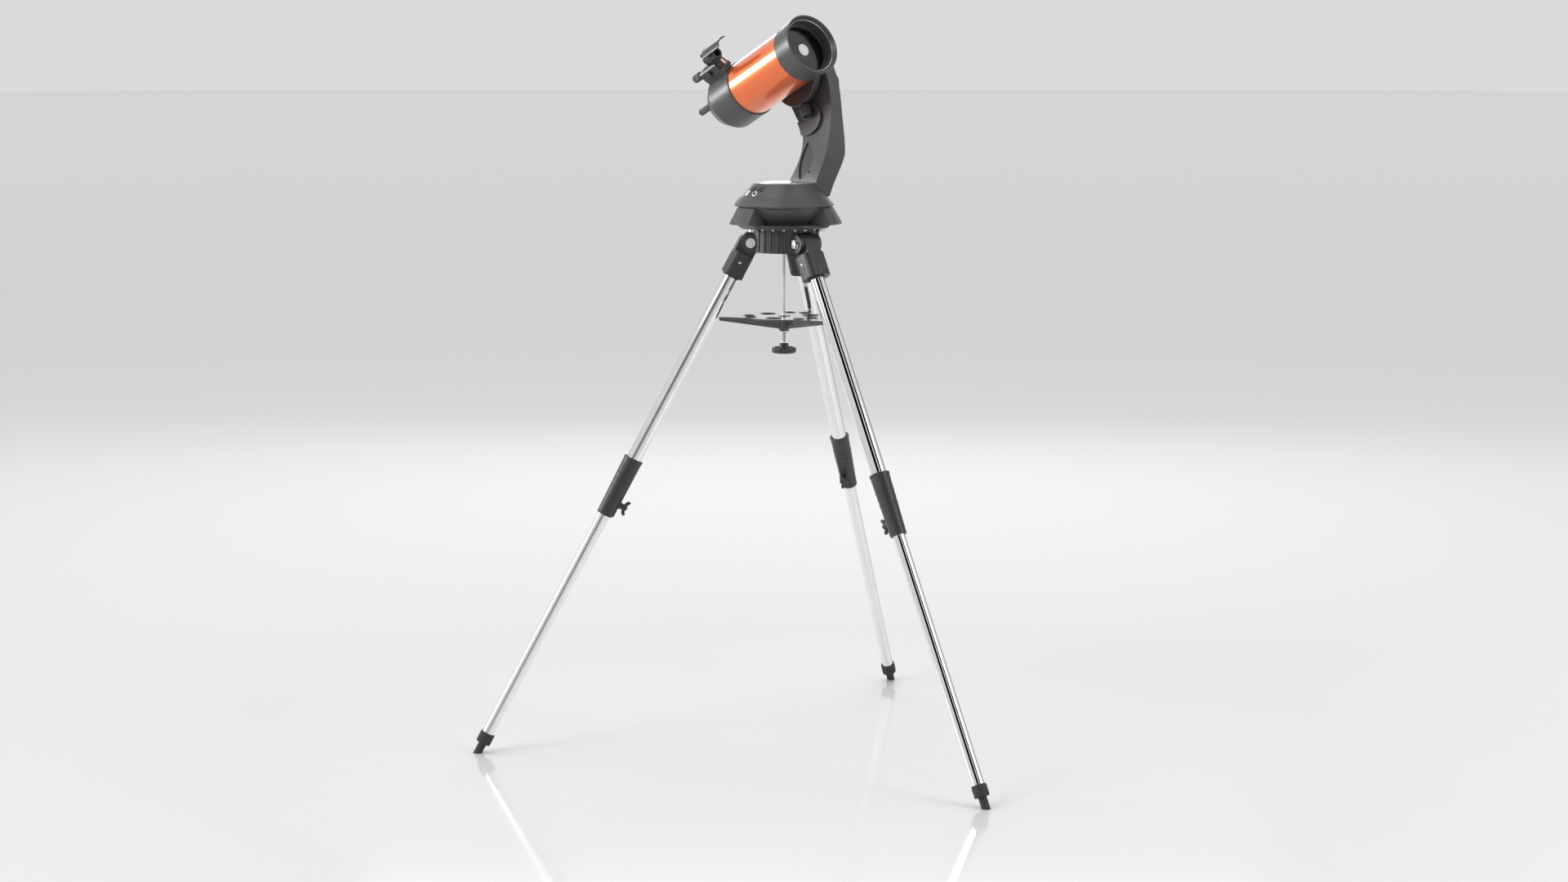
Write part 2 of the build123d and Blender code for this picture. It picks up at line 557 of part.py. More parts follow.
def saddle():
    """Round saddle on the altitude shaft, with a dovetail groove; built in the tube's frame."""
    body = Pos(0, 0, PIVOT_STATION) * rod_x(SADDLE_R, SADDLE_INNER, SADDLE_OUTER)
    body = chamfer(body.edges().filter_by(GeomType.CIRCLE), 2)
    body -= prism(bar_outline(0.25), Plane.XY.offset(-200), 300)
    body += Pos(0, 0, PIVOT_STATION) * rod_x(PIVOT_BOSS_R, SADDLE_OUTER, ARM_INNER - 0.4)
    body += Pos(0, 0, PIVOT_STATION) * rod_x(SHAFT_R, SADDLE_OUTER, 100)
    body -= Pos(0, 0, PIVOT_STATION) * rod_y(SADDLE_SCREW_R + RUN, -90, 0, x=SADDLE_KNOB_X)
    return TUBE_FRAME * body


def saddle_knob():
    """Ridged knob under the saddle, on the screw that clamps the dovetail bar."""
    x = SADDLE_KNOB_X
    ridged = rod_y(SADDLE_KNOB_R, -98, -73, x=x) + rod_y(8, -73, -70.6, x=x) + rod_y(SADDLE_SCREW_R, -71, -22, x=x)
    grooves, groove_place = 12, SADDLE_KNOB_R + 0.5
    for i in range(grooves):
        a = radians(360 * i / grooves)
        ridged -= rod_y(1.6, -99, -76, x=x + groove_place * cos(a), z=groove_place * sin(a))
    return TUBE_FRAME * Pos(0, 0, PIVOT_STATION) * ridged


def altitude_wheel():
    low, high = WHEEL_MIDDLE - WHEEL_HALF, WHEEL_MIDDLE + WHEEL_HALF
    body = rod_x(WHEEL_R, low, high) - rod_x(SHAFT_R, low - 1, high + 1)
    teeth = 48
    for i in range(teeth):
        a = radians(360 * i / teeth)
        body -= rod_x(TOOTH_GAP_R, low - 1, high + 1, y=WHEEL_R * cos(a), z=WHEEL_R * sin(a))
    return TUBE_FRAME * Pos(0, 0, PIVOT_STATION) * body


# ---------------------------------------------------------------- optical tube

def dovetail_bar():
    body = prism(bar_outline(0), Plane.XY.offset(-110), 152)
    return TUBE_FRAME * (body - rod(TUBE_R, -150, 100))


def optical_tube():
    return TUBE_FRAME * tube(TUBE_R, TUBE_R - TUBE_SKIN, REAR_CELL - SEAT, FRONT_CELL + SEAT)


def front_cell():
    """Ring that holds the corrector plate behind a deep recess with a flared lip."""
    back, front = CORRECTOR, CORRECTOR + CORRECTOR_THICKNESS
    stop = CORRECTOR_R - 4
    body = turned([(TUBE_R + 1.9, FRONT_CELL), (TUBE_R + 2.7, 62), (RIM_R, 90), (RIM_R, RIM - 1), (RIM_R - 1, RIM),
                   (APERTURE_R + 4, RIM), (APERTURE_R, RIM - 8), (APERTURE_R, RETAINER), (APERTURE_R - 1.6, RETAINER),
                   (APERTURE_R - 1.6, front), (CORRECTOR_R, front), (CORRECTOR_R, back), (stop, back),
                   (stop, FRONT_CELL + SEAT), (TUBE_R, FRONT_CELL + SEAT), (TUBE_R, FRONT_CELL)])
    return TUBE_FRAME * body


def corrector_plate():
    return TUBE_FRAME * tube(CORRECTOR_R, SECONDARY_NECK_R, CORRECTOR, CORRECTOR + CORRECTOR_THICKNESS)


def secondary_cell():
    front = CORRECTOR + CORRECTOR_THICKNESS
    body = rod(SECONDARY_R, front, front + 2) + rod(SECONDARY_NECK_R, CORRECTOR - 1, front)
    body += rod(14, CORRECTOR - 8, CORRECTOR)
    return TUBE_FRAME * body


def secondary_mirror():
    return TUBE_FRAME * rod(SECONDARY_R, CORRECTOR - 12, CORRECTOR - 8)


def rear_cell():
    body = turned([(61.4, REAR_CELL), (REAR_CELL_R, REAR_CELL - 2), (REAR_CELL_R, -186), (60.5, -189), (47, REAR_FACE + 1),
                   (45.5, REAR_FACE), (17, REAR_FACE), (17, REAR_FACE + 5), (44, REAR_FACE + 5), (57.5, -187),
                   (57.5, REAR_CELL - SEAT), (TUBE_R, REAR_CELL - SEAT), (TUBE_R, REAR_CELL)])
    body += rod(8, REAR_FACE, REAR_FACE + 10, x=FOCUS_X, y=FOCUS_Y)
    body -= rod(FOCUS_ROD_R + RUN, REAR_FACE - 1, REAR_FACE + 12, x=FOCUS_X, y=FOCUS_Y)
    body += rod(5, REAR_FACE - 6, REAR_FACE + 1, x=-33, y=20)
    return TUBE_FRAME * body


def baffle_tube():
    flange = tube(BAFFLE_R + 2, BAFFLE_INNER_R, REAR_FACE, REAR_FACE + 5)
    return TUBE_FRAME * (tube(BAFFLE_R, BAFFLE_INNER_R, REAR_FACE + 5, -70) + flange)


def primary_mirror():
    return TUBE_FRAME * tube(MIRROR_R, BAFFLE_R + RUN, MIRROR_BACK, MIRROR_FACE)


def focus_knob():
    """Ridged knob on the rod that moves the primary mirror."""
    body = rod(FOCUS_ROD_R, REAR_FACE - 4, REAR_FACE + 9) + rod(5, REAR_FACE - 4, REAR_FACE - 0.4)
    grip = rod(FOCUS_R, REAR_FACE - 40, REAR_FACE - 4)
    grooves = 10
    for i in range(grooves):
        grip -= Rot(0, 0, 360 * i / grooves) * rod(1.1, REAR_FACE - 41, REAR_FACE - 8, x=FOCUS_R + 0.5)
    return TUBE_FRAME * Pos(FOCUS_X, FOCUS_Y, 0) * (body + grip)


def visual_back():
    """Port for a 1.25 in barrel, with a thumb screw on top."""
    mouth, stop = REAR_FACE - 28, REAR_FACE - 4
    body = turned([(BAFFLE_INNER_R, REAR_FACE), (22, REAR_FACE), (22, REAR_FACE - 6), (19, REAR_FACE - 8), (19, mouth),
                   (EYEPIECE_BORE_R, mouth), (EYEPIECE_BORE_R, stop), (BAFFLE_INNER_R, stop)])
    body += Pos(0, 0, REAR_FACE - 18) * rod_y(3.5, 18, 27)
    return TUBE_FRAME * (body - rod(EYEPIECE_BORE_R, mouth - 2, stop))


# ---------------------------------------------------------------- finder

FINDER_FRAME = TUBE_FRAME * Rot(0, 0, FINDER_TURN)
BARREL_Y = 106.0
BARREL_R, BARREL_BORE_R = 12.5, 8.0
FINDER_KNOB_R, FINDER_KNOB_Y = 9.0, 86.0


def window_pane():
    return Pos(0, 74, -116) * Rot(-8, 0, 0) * block(-10, 10, -2, 14.5, -1, 1)


def finder_body():
    """Red-dot finder on the rear cell: shoe, housing, barrel and hood, with Y away from the tube."""
    shoe = block(-12, 12, 58, 68, -182, -118.5) - rod(REAR_CELL_R, -220, -100)
    housing = block(-11, 11, 66, 92, -184, -128)
    housing = chamfer(housing.edges().filter_by(Axis.Z), 3)
    neck = block(-5, 5, 90, 98, -150, -112)
    barrel = Pos(0, BARREL_Y, 0) * (rod(BARREL_R, -142, -106) - rod(BARREL_BORE_R, -132, -105))
    hood = Pos(0, 100, 0) * (tube(26, 24, -130, -72) & block(-18, 18, 18, 30, -131, -71))
    posts = block(-10, 10, 112, 125, -138, -124) - Pos(0, BARREL_Y, 0) * rod(10, -150, -100)
    window_seat = block(-11, 11, 66, 74, -128, -112) - rod(REAR_CELL_R + 0.5, -150, -100)
    body = shoe + housing + neck + barrel + hood + posts + window_seat
    return FINDER_FRAME * (body - window_pane())


def finder_window():
    return FINDER_FRAME * window_pane()


def finder_knob():
    """Ridged knob behind the housing that switches and dims the dot."""
    body = rod(FINDER_KNOB_R, -212, -188) + rod(3, -188, -184)
    grooves = 10
    for i in range(grooves):
        body -= Rot(0, 0, 360 * i / grooves) * rod(1.2, -213, -190, x=FINDER_KNOB_R + 0.6)
    return FINDER_FRAME * Pos(0, FINDER_KNOB_Y, 0) * body


# ---------------------------------------------------------------- hand control

KEY_FACE = HAND_OUTER - 1.5
DIRECTION_KEYS = {"up": (0, 46), "down": (0, 20), "left": (-15, 33), "right": (15, 33)}
KEY_ROWS = [5 - KEY_PITCH * i for i in range(4)]
KEY_COLUMNS = (-17, 0, 17)
DISPLAY_Z = 66.0


def key_prism(y, z, grow, low, high):
    outline = RectangleRounded(11 + 2 * grow, 7.5 + 2 * grow, 2.5 + grow)
    return extrude(Plane.YZ.offset(low) * Pos(y, z) * outline, high - low)


def display_prism(depth):
    return extrude(Plane.YZ.offset(KEY_FACE - 1.4) * Pos(0, DISPLAY_Z) * RectangleRounded(44, 17, 2), depth)


def hand_control_body():
    body = extrude(Plane.YZ.offset(HAND_INNER) * hand_outline(0), HAND_OUTER - 1.5 - HAND_INNER)
    body = chamfer(body.faces().sort_by(Axis.X)[-1].edges(), 1.5)
    body -= display_prism(5)
    for y, z in DIRECTION_KEYS.values():
        body -= key_prism(y, z, 0.15, KEY_FACE - 3, KEY_FACE + 5)
    for z in KEY_ROWS:
        for y in KEY_COLUMNS:
            body -= key_prism(y, z, 0, KEY_FACE - 1, KEY_FACE + 5)
    return HAND_FRAME * body


def hand_control_display():
    return HAND_FRAME * display_prism(1.2)


def direction_key(name):
    y, z = DIRECTION_KEYS[name]
    return HAND_FRAME * key_prism(y, z, 0, KEY_FACE - 1.6, KEY_FACE + 1.6)


def keypad():
    keys = []
    for z in KEY_ROWS:
        for y in KEY_COLUMNS:
            keys.append(HAND_FRAME * key_prism(y, z, 0, KEY_FACE - 1, KEY_FACE + 1.4))
    return Compound(keys)


# ---------------------------------------------------------------- write the parts

def leg_parts():
    """The parts of each leg, placed in that leg's frame."""
    floor = block(-2000, 2000, -2000, 2000, 0, 3000)
    makers = {"leg_bracket": leg_bracket(), "upper_leg_tube": upper_leg_tube(), "leg_clamp": leg_clamp(),
              "lower_leg_tube": lower_leg_tube(), "rubber_foot": rubber_foot(), "clamp_knob": clamp_knob()}
    placed = {}
    for number, azimuth in enumerate(LEG_AZIMUTHS, start=1):
        for name, shape in makers.items():
            part = leg_frame(azimuth) * shape
            placed[f"{name}_{number}"] = part & floor if name == "rubber_foot" else part
    return placed


def all_parts():
    parts = leg_parts()
    inner, outer = arm_shells()
    parts["arm_inner_shell"] = MOUNT_FRAME * inner
    parts["arm_outer_shell"] = MOUNT_FRAME * outer
    for name in DIRECTION_KEYS:
        parts[f"key_{name}"] = direction_key(name)
    makers = (tripod_head, leg_pivot_bolts, mount_screws, center_rod, brace_tray, tension_spring, tension_knob,
              base_housing, azimuth_wheel, turntable_shell, top_cover, port_covers, power_jack, power_button,
              battery_pack, drive_motors, saddle, saddle_knob, altitude_wheel, dovetail_bar, optical_tube, front_cell,
              corrector_plate, secondary_cell, secondary_mirror, rear_cell, baffle_tube, primary_mirror, focus_knob,
              visual_back, finder_body, finder_window, finder_knob, hand_control_body, hand_control_display, keypad)
    for maker in makers:
        parts[maker.__name__] = maker()
    return parts


os.makedirs("parts", exist_ok=True)
for node, shape in all_parts().items():
    export_step(shape, f"parts/{node}.step")
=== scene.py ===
"""Looks of a catadioptric telescope on a single-arm mount and a steel tripod.

The frame is in metres with +Z up and feet on z = 0; outlines and offsets of pieces are in mm.
"""
import json
from math import cos, pi, radians, sin

import bmesh
import bpy
from mathutils import Matrix, Vector
from mathutils.bvhtree import BVHTree


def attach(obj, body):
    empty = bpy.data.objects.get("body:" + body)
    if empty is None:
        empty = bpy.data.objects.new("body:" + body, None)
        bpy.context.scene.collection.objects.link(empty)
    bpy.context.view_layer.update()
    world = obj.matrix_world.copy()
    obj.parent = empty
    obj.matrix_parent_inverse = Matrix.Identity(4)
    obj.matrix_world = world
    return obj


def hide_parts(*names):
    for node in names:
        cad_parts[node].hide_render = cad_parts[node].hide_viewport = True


MM = 0.001
TURN = 2 * pi

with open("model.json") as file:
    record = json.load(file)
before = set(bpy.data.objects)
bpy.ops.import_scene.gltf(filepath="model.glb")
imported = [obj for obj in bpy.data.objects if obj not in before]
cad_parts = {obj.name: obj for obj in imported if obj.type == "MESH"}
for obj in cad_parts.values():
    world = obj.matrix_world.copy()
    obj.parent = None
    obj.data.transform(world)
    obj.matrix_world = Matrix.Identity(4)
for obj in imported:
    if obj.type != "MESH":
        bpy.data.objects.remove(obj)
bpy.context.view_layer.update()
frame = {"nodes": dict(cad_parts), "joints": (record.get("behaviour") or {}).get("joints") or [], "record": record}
nodes = frame["nodes"]
joints = {joint["name"]: joint for joint in frame["joints"]}
mounts = {mount["name"]: mount for mount in frame["record"]["mounts"]}


# ---------------------------------------------------------------- places

def place_at(origin, x_axis, z_axis):
    """Matrix with its origin, X and Z given; Y completes it."""
    z = Vector(z_axis).normalized()
    x = Vector(x_axis)
    x = (x - z * x.dot(z)).normalized()
    matrix = Matrix((x, z.cross(x), z)).transposed().to_4x4()
    matrix.translation = Vector(origin)
    return matrix


def shift(x=0.0, y=0.0, z=0.0):
    """Move by millimetres."""
    return Matrix.Translation(Vector((x, y, z)) * MM)


def point(place, x, y, z):
    """Point at millimetres in place's frame."""
    return place @ (Vector((x, y, z)) * MM)


def turn(angle, axis="Z"):
    return Matrix.Rotation(radians(angle), 4, axis)


UP = Vector((0, 0, 1))
ARM_WAY = -Vector(joints["altitude_turn"]["axis"])
TUBE_WAY = Vector(joints["tube_slide"]["axis"])
PIVOT = Vector(joints["altitude_turn"]["pos_m"])
AXIS = Vector(joints["azimuth_turn"]["pos_m"])
AXIS.z = 0
PIVOT_STATION = -50
LEG_PIVOT_R, LEG_PIVOT_HEIGHT = 73.5, joints["leg_1_fold"]["pos_m"][2] / MM
HEAD = Matrix.Translation(AXIS)
MOUNT = place_at(AXIS, ARM_WAY, UP)
TUBE = place_at(PIVOT - TUBE_WAY * PIVOT_STATION * MM, ARM_WAY, TUBE_WAY)
FINDER = TUBE @ turn(45)
HAND = MOUNT @ shift(0, -16, 1331) @ turn(-6, "X")
LEG_NUMBERS = (1, 2, 3)
LEG_AZIMUTHS = (180, 300, 60)


def leg_place(number):
    """Frame of a leg: origin at its foot, Z up the leg, X outwards."""
    foot = mounts[f"foot_rest_{number}"]["pos_m"]
    outwards = -Vector(joints[f"clamp_knob_{number}_turn"]["axis"])
    return place_at(foot, outwards, joints[f"leg_{number}_extend"]["axis"])


# ---------------------------------------------------------------- meshes

def finish_mesh(bm, name, material, body, sharp=34):
    """Turn a bmesh into a smooth-shaded piece that rides on a body, in its material's slot."""
    bmesh.ops.remove_doubles(bm, verts=bm.verts, dist=1e-7)
    bmesh.ops.recalc_face_normals(bm, faces=bm.faces)
    for face in bm.faces:
        face.smooth = True
    for edge in bm.edges:
        if len(edge.link_faces) == 2 and edge.calc_face_angle(0) > radians(sharp):
            edge.smooth = False
    mesh = bpy.data.meshes.new(name)
    bm.to_mesh(mesh)
    bm.free()
    piece = bpy.data.objects.new(name, mesh)
    bpy.context.scene.collection.objects.link(piece)
    mesh.materials.append(material)
    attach(piece, body)
    return piece


def add_turned(bm, place, outline, steps=72, closed=True, ripple=None):
    """Spin an outline of (radius, height) in mm about place's Z; ripple(index, angle) scales a radius."""
    rings = []
    for step in range(steps):
        angle = TURN * step / steps
        ring = []
        for index, (radius, height) in enumerate(outline):
            reach = radius * (ripple(index, angle) if ripple else 1.0)
            ring.append(bm.verts.new(point(place, reach * cos(angle), reach * sin(angle), height)))
        rings.append(ring)
    count = len(outline)
    last = count if closed else count - 1
    for step in range(steps):
        here, there = rings[step], rings[(step + 1) % steps]
        for index in range(last):
            after = (index + 1) % count
            if outline[index][0] == 0 and outline[after][0] == 0:
                continue
            bm.faces.new((here[index], there[index], there[after], here[after]))


def turned(name, body, material, place, outline, steps=72, closed=True, ripple=None, sharp=34):
    bm = bmesh.new()
    add_turned(bm, place, outline, steps, closed, ripple)
    return finish_mesh(bm, name, material, body, sharp)


def add_block(bm, place, size, bevel, segments=2):
    """Rounded box centred on place; size and bevel in mm."""
    made = bmesh.ops.create_cube(bm, size=MM)["verts"]
    for vert in made:
        vert.co = Vector((vert.co.x * size[0], vert.co.y * size[1], vert.co.z * size[2]))
    edges = list({edge for vert in made for edge in vert.link_edges})
    result = bmesh.ops.bevel(bm, geom=edges, offset=bevel * MM, segments=segments, affect="EDGES",
                             profile=0.5)
    for vert in {vert for face in result["faces"] for vert in face.verts}:
        vert.co = place @ vert.co


def blocks(name, body, material, places, size, bevel, segments=2):
    bm = bmesh.new()
    for place in places:
        part = bmesh.new()
        add_block(part, place, size, bevel, segments)
        mesh = bpy.data.meshes.new("part")
        part.to_mesh(mesh)
        part.free()
        bm.from_mesh(mesh)
        bpy.data.meshes.remove(mesh)
    return finish_mesh(bm, name, material, body, sharp=50)


def ring_outline(inner, outer, low, high, round_off=0.3):
    """Closed outline of a flat ring with its outer corners eased."""
    r = round_off
    outside = [(outer - r, low), (outer, low + r), (outer, high - r), (outer - r, high)]
    return [(inner, low), *outside, (inner, high)]


def wire_outline(radius, height, thickness, points=8):
    """Round section of a bead that runs round an axis."""
    return [(radius + thickness * cos(TURN * i / points), height + thickness * sin(TURN * i / points))
            for i in range(points)]


def screw_ripple(index, angle):
    """Makes the recess of a screw head a cross; the recess is its last four points."""
    if index < 5:
        return 1.0
    return 0.34 + 0.66 * abs(cos(2 * angle)) ** 6


def add_screw(bm, place, radius):
    """Cross-recess pan head, standing on place's XY plane."""
    r = radius
    outline = [(0, -0.1 * r), (r, -0.1 * r), (r, 0.18 * r), (0.86 * r, 0.42 * r), (0.60 * r, 0.52 * r),
               (0.52 * r, 0.53 * r), (0.46 * r, 0.12 * r), (0, 0.08 * r)]
    add_turned(bm, place, outline, steps=48, closed=False, ripple=screw_ripple)


def screws(name, body, material, places, radius):
    bm = bmesh.new()
    for place in places:
        add_screw(bm, place, radius)
    return finish_mesh(bm, name, material, body, sharp=28)


def round_places(place, count, radius, height, start=0.0, outward=True):
    """Places spaced round an axis: Z points away from the axis, or along it."""
    made = []
    for i in range(count):
        spin = place @ turn(start + 360 * i / count) @ shift(radius, 0, height)
        made.append(spin @ turn(90, "Y") if outward else spin)
    return made


def surface_tree(node):
    """Search tree of a CAD node's faces, for rays."""
    mesh = nodes[node].data
    corners = [vert.co.copy() for vert in mesh.vertices]
    return BVHTree.FromPolygons(corners, [tuple(polygon.vertices) for polygon in mesh.polygons])


def surface_place(tree, start, way):
    """Place on a surface where a ray from start along way first meets it, Z out of the surface."""
    point, normal, _, _ = tree.ray_cast(start, way)
    if normal.dot(Vector(way)) > 0:
        normal = -normal
    side = UP.cross(normal)
    return place_at(point, side if side.length > 0.1 else ARM_WAY, normal)


def ridged(count, depth, indexes):
    """Ripple that cuts rounded grooves into the outline points in indexes."""
    def ripple(index, angle):
        if index not in indexes:
            return 1.0
        return 1.0 - depth * (0.5 - 0.5 * cos(count * angle)) ** 2
    return ripple


# ---------------------------------------------------------------- materials

def node_of(tree, kind, **values):
    node = tree.nodes.new(kind)
    for name, value in values.items():
        if name in node.inputs:
            node.inputs[name].default_value = value
        else:
            setattr(node, name, value)
    return node


def noise(tree, vector, scale, detail=4.0, roughness=0.55):
    node = node_of(tree, "ShaderNodeTexNoise", Scale=scale, Detail=detail, Roughness=roughness)
    tree.links.new(vector, node.inputs["Vector"])
    return node.outputs["Fac"]


def spread(tree, value, low, high, start=0.3, end=0.7):
    """Map a 0 to 1 pattern onto a range."""
    node = node_of(tree, "ShaderNodeMapRange")
    node.inputs["From Min"].default_value = start
    node.inputs["From Max"].default_value = end
    node.inputs["To Min"].default_value = low
    node.inputs["To Max"].default_value = high
    tree.links.new(value, node.inputs["Value"])
    return node.outputs["Result"]


def mixed(tree, factor, first, second):
    """Colour mix; first and second are colours or sockets."""
    node = node_of(tree, "ShaderNodeMix", data_type="RGBA")
    tree.links.new(factor, node.inputs[0])
    for socket, value in ((node.inputs[6], first), (node.inputs[7], second)):
        if isinstance(value, tuple):
            socket.default_value = (*value, 1.0)
        else:
            tree.links.new(value, socket)
    return node.outputs[2]


def edge_mask(tree, width):
    """1 on the object's sharp edges, 0 on its faces, and the rounded normal that finds them."""
    bevel = node_of(tree, "ShaderNodeBevel", samples=4)
    bevel.inputs["Radius"].default_value = width
    geometry = node_of(tree, "ShaderNodeNewGeometry")
    dot = node_of(tree, "ShaderNodeVectorMath", operation="DOT_PRODUCT")
    tree.links.new(bevel.outputs["Normal"], dot.inputs[0])
    tree.links.new(geometry.outputs["Normal"], dot.inputs[1])
    mask = spread(tree, dot.outputs["Value"], 1.0, 0.0, start=0.80, end=0.995)
    return mask, bevel.outputs["Normal"]


def new_material(name, slot):
    material = bpy.data.materials.new(name)
    material["slot"] = slot
    material.use_nodes = True
    return material


def surface(name, slot, color, rough, metal=0.0, grain=2200.0, depth=0.00004, mottle=0.10, edge=0.25,
            coat=0.0, width=0.0006, stretch=None, rough_change=0.06):
    """Opaque material: mottled colour, grained bump, smudged roughness, and a painted highlight with wear on sharp
    edges: edge is how far they are lifted towards white.
    """
    material = new_material(name, slot)
    tree = material.node_tree
    shader = tree.nodes["Principled BSDF"]
    where = node_of(tree, "ShaderNodeTexCoord").outputs["Object"]
    if stretch:
        mapping = node_of(tree, "ShaderNodeMapping", vector_type="TEXTURE")
        mapping.inputs["Rotation"].default_value = stretch.to_euler()
        mapping.inputs["Scale"].default_value = (1.0, 1.0, 60.0)
        tree.links.new(where, mapping.inputs["Vector"])
        fine = noise(tree, mapping.outputs["Vector"], grain)
    else:
        fine = noise(tree, where, grain)
    broad = noise(tree, where, 38.0, 6.0)
    smudge = noise(tree, where, 16.0, 8.0, 0.65)
    dark = tuple(c * (1 - mottle) for c in color)
    light = tuple(min(1.0, c * (1 + mottle)) for c in color)
    base = mixed(tree, spread(tree, broad, 0.0, 1.0), dark, light)
    bright = tuple(min(1.0, c * 1.5 + 0.01) for c in color)
    speck = mixed(tree, spread(tree, fine, 0.0, 0.35, 0.4, 0.75), base, bright)
    mask, rounded = edge_mask(tree, width)
    # Painted highlight on sharp edges, broken up like wear: where the edge mask meets the smudge noise, the colour
    # is lifted towards white by edge.
    edge_highlight_and_scuff_colour = tuple(min(1.0, c + (1 - c) * edge) for c in color)
    edge_highlight_and_scuff_share = node_of(tree, "ShaderNodeMath", operation="MULTIPLY")
    tree.links.new(mask, edge_highlight_and_scuff_share.inputs[0])
    tree.links.new(spread(tree, smudge, 0.0, 0.8, 0.35, 0.6), edge_highlight_and_scuff_share.inputs[1])
    tree.links.new(mixed(tree, edge_highlight_and_scuff_share.outputs[0], speck, edge_highlight_and_scuff_colour), shader.inputs["Base Color"])
    bump = node_of(tree, "ShaderNodeBump", Strength=0.6, Distance=depth)
    tree.links.new(fine, bump.inputs["Height"])
    tree.links.new(rounded, bump.inputs["Normal"])
    tree.links.new(bump.outputs["Normal"], shader.inputs["Normal"])
    roughness = spread(tree, smudge, max(0.02, rough - rough_change), rough + rough_change)
    tree.links.new(roughness, shader.inputs["Roughness"])
    shader.inputs["Metallic"].default_value = metal
    shader.inputs["Coat Weight"].default_value = coat
    shader.inputs["Coat Roughness"].default_value = 0.04
    return material


def flake_paint(name, slot, color, deep):
    """Metallic paint under clear lacquer: fine flakes of two tones."""
    material = surface(name, slot, color, 0.30, metal=0.55, grain=900.0, depth=0.00001, mottle=0.02,
                       edge=0.0, coat=1.0, rough_change=0.015)
    tree = material.node_tree
    shader = tree.nodes["Principled BSDF"]
    where = node_of(tree, "ShaderNodeTexCoord").outputs["Object"]
    flakes = node_of(tree, "ShaderNodeTexVoronoi", Scale=1900.0)
    tree.links.new(where, flakes.inputs["Vector"])
    tone = node_of(tree, "ShaderNodeSeparateColor")
    tree.links.new(flakes.outputs["Color"], tone.inputs["Color"])
    base = shader.inputs["Base Color"].links[0].from_socket
    pick = spread(tree, tone.outputs[0], 0.0, 0.45, 0.2, 1.0)
    tree.links.new(mixed(tree, pick, base, deep), shader.inputs["Base Color"])
    return material


def glass(name, slot, color, ior, rough=0.02, tint=0.0):
    """Thin coated glass with faint dust in its roughness."""
    material = new_material(name, slot)
    tree = material.node_tree
    shader = tree.nodes["Principled BSDF"]
    where = node_of(tree, "ShaderNodeTexCoord").outputs["Object"]
    dust = noise(tree, where, 420.0, 5.0)
    tree.links.new(spread(tree, dust, rough, rough + 0.06, 0.5, 0.8), shader.inputs["Roughness"])
    haze = mixed(tree, spread(tree, dust, 0.0, 0.2, 0.55, 0.8), color, tuple(c * (1 - tint) for c in color))
    tree.links.new(haze, shader.inputs["Base Color"])
    shader.inputs["Transmission Weight"].default_value = 1.0
    shader.inputs["IOR"].default_value = ior
    return material


charcoal = surface("charcoal", "charcoal_plastic", (0.062, 0.062, 0.065), 0.40, grain=2600, depth=0.00005,
                   edge=0.16)
arm_plastic = surface("arm_plastic", "charcoal_plastic", (0.056, 0.056, 0.059), 0.42, grain=1700,
                      depth=0.00008, edge=0.14)
# Light grey top face of the charcoal base cover: a painted highlight for the overhead light, under a gloss coat.
painted_highlight_top = surface("cover_top", "charcoal_plastic", (0.42, 0.42, 0.43), 0.10, grain=1800, depth=0.00002,
                    edge=0.2, coat=1.0)
black_plastic = surface("black_plastic", "black_plastic", (0.030, 0.030, 0.032), 0.38, edge=0.16)
dark_paint = surface("dark_paint", "dark_metal", (0.050, 0.050, 0.054), 0.40, metal=0.25, grain=1500,
                     depth=0.00005, edge=0.30)
cell_paint = surface("cell_paint", "black_plastic", (0.056, 0.056, 0.059), 0.36, grain=2400, depth=0.00003,
                     edge=0.14)
rear_paint = surface("rear_paint", "charcoal_plastic", (0.056, 0.056, 0.059), 0.36, grain=2400, depth=0.00003,
                     edge=0.14)
flat_black = surface("flat_black", "black_interior", (0.060, 0.060, 0.061), 0.70, grain=3000, depth=0.00005,
                     mottle=0.2, edge=0.05)
leaf_plastic = surface("leaf_plastic", "charcoal_plastic", (0.030, 0.030, 0.032), 0.50, grain=1700,
                       depth=0.00008, edge=0.05)
orange = flake_paint("orange_paint", "orange_paint", (0.80, 0.150, 0.026), (0.56, 0.070, 0.008))
steel = surface("bolt_steel", "bolt_steel", (0.70, 0.70, 0.72), 0.22, metal=1.0, grain=900, depth=0.00002,
                mottle=0.06, edge=0.3)
aluminium = surface("aluminium", "aluminium", (0.80, 0.81, 0.82), 0.30, metal=0.85, grain=2000, depth=0.00002,
                    edge=0.3)
bright_disc = surface("bright_disc", "aluminium", (0.93, 0.93, 0.93), 0.22, metal=0.15, grain=1200,
                      depth=0.00001, mottle=0.02)
tray_metal = surface("tray_plastic", "charcoal_plastic", (0.060, 0.060, 0.063), 0.20, grain=1500, edge=0.2,
                     coat=0.8)
rubber = surface("rubber", "rubber", (0.030, 0.030, 0.031), 0.62, grain=1400, depth=0.00010, mottle=0.2,
                 edge=0.10)
soft_keys = surface("soft_keys", "soft_keys", (0.30, 0.30, 0.31), 0.48, depth=0.00003)
brass = surface("brass_gear", "brass_gear", (0.72, 0.50, 0.20), 0.28, metal=1.0, grain=1300, depth=0.00003,
                edge=0.3)
battery_wrap = surface("battery_wrap", "battery", (0.050, 0.050, 0.052), 0.45, edge=0.16)
mirror = surface("mirror", "mirror", (0.93, 0.94, 0.95), 0.03, metal=1.0, grain=400, depth=0.000001,
                 mottle=0.01, edge=0.0, rough_change=0.01)
display = surface("display_glass", "display_glass", (0.030, 0.045, 0.030), 0.12, grain=900, depth=0.00001,
                  edge=0.1, coat=1.0)
corrector_glass = glass("corrector_glass", "glass", (0.66, 0.70, 0.71), 1.5)
pink_glass = glass("window_glass", "window_glass", (0.95, 0.62, 0.55), 1.12, tint=0.3)


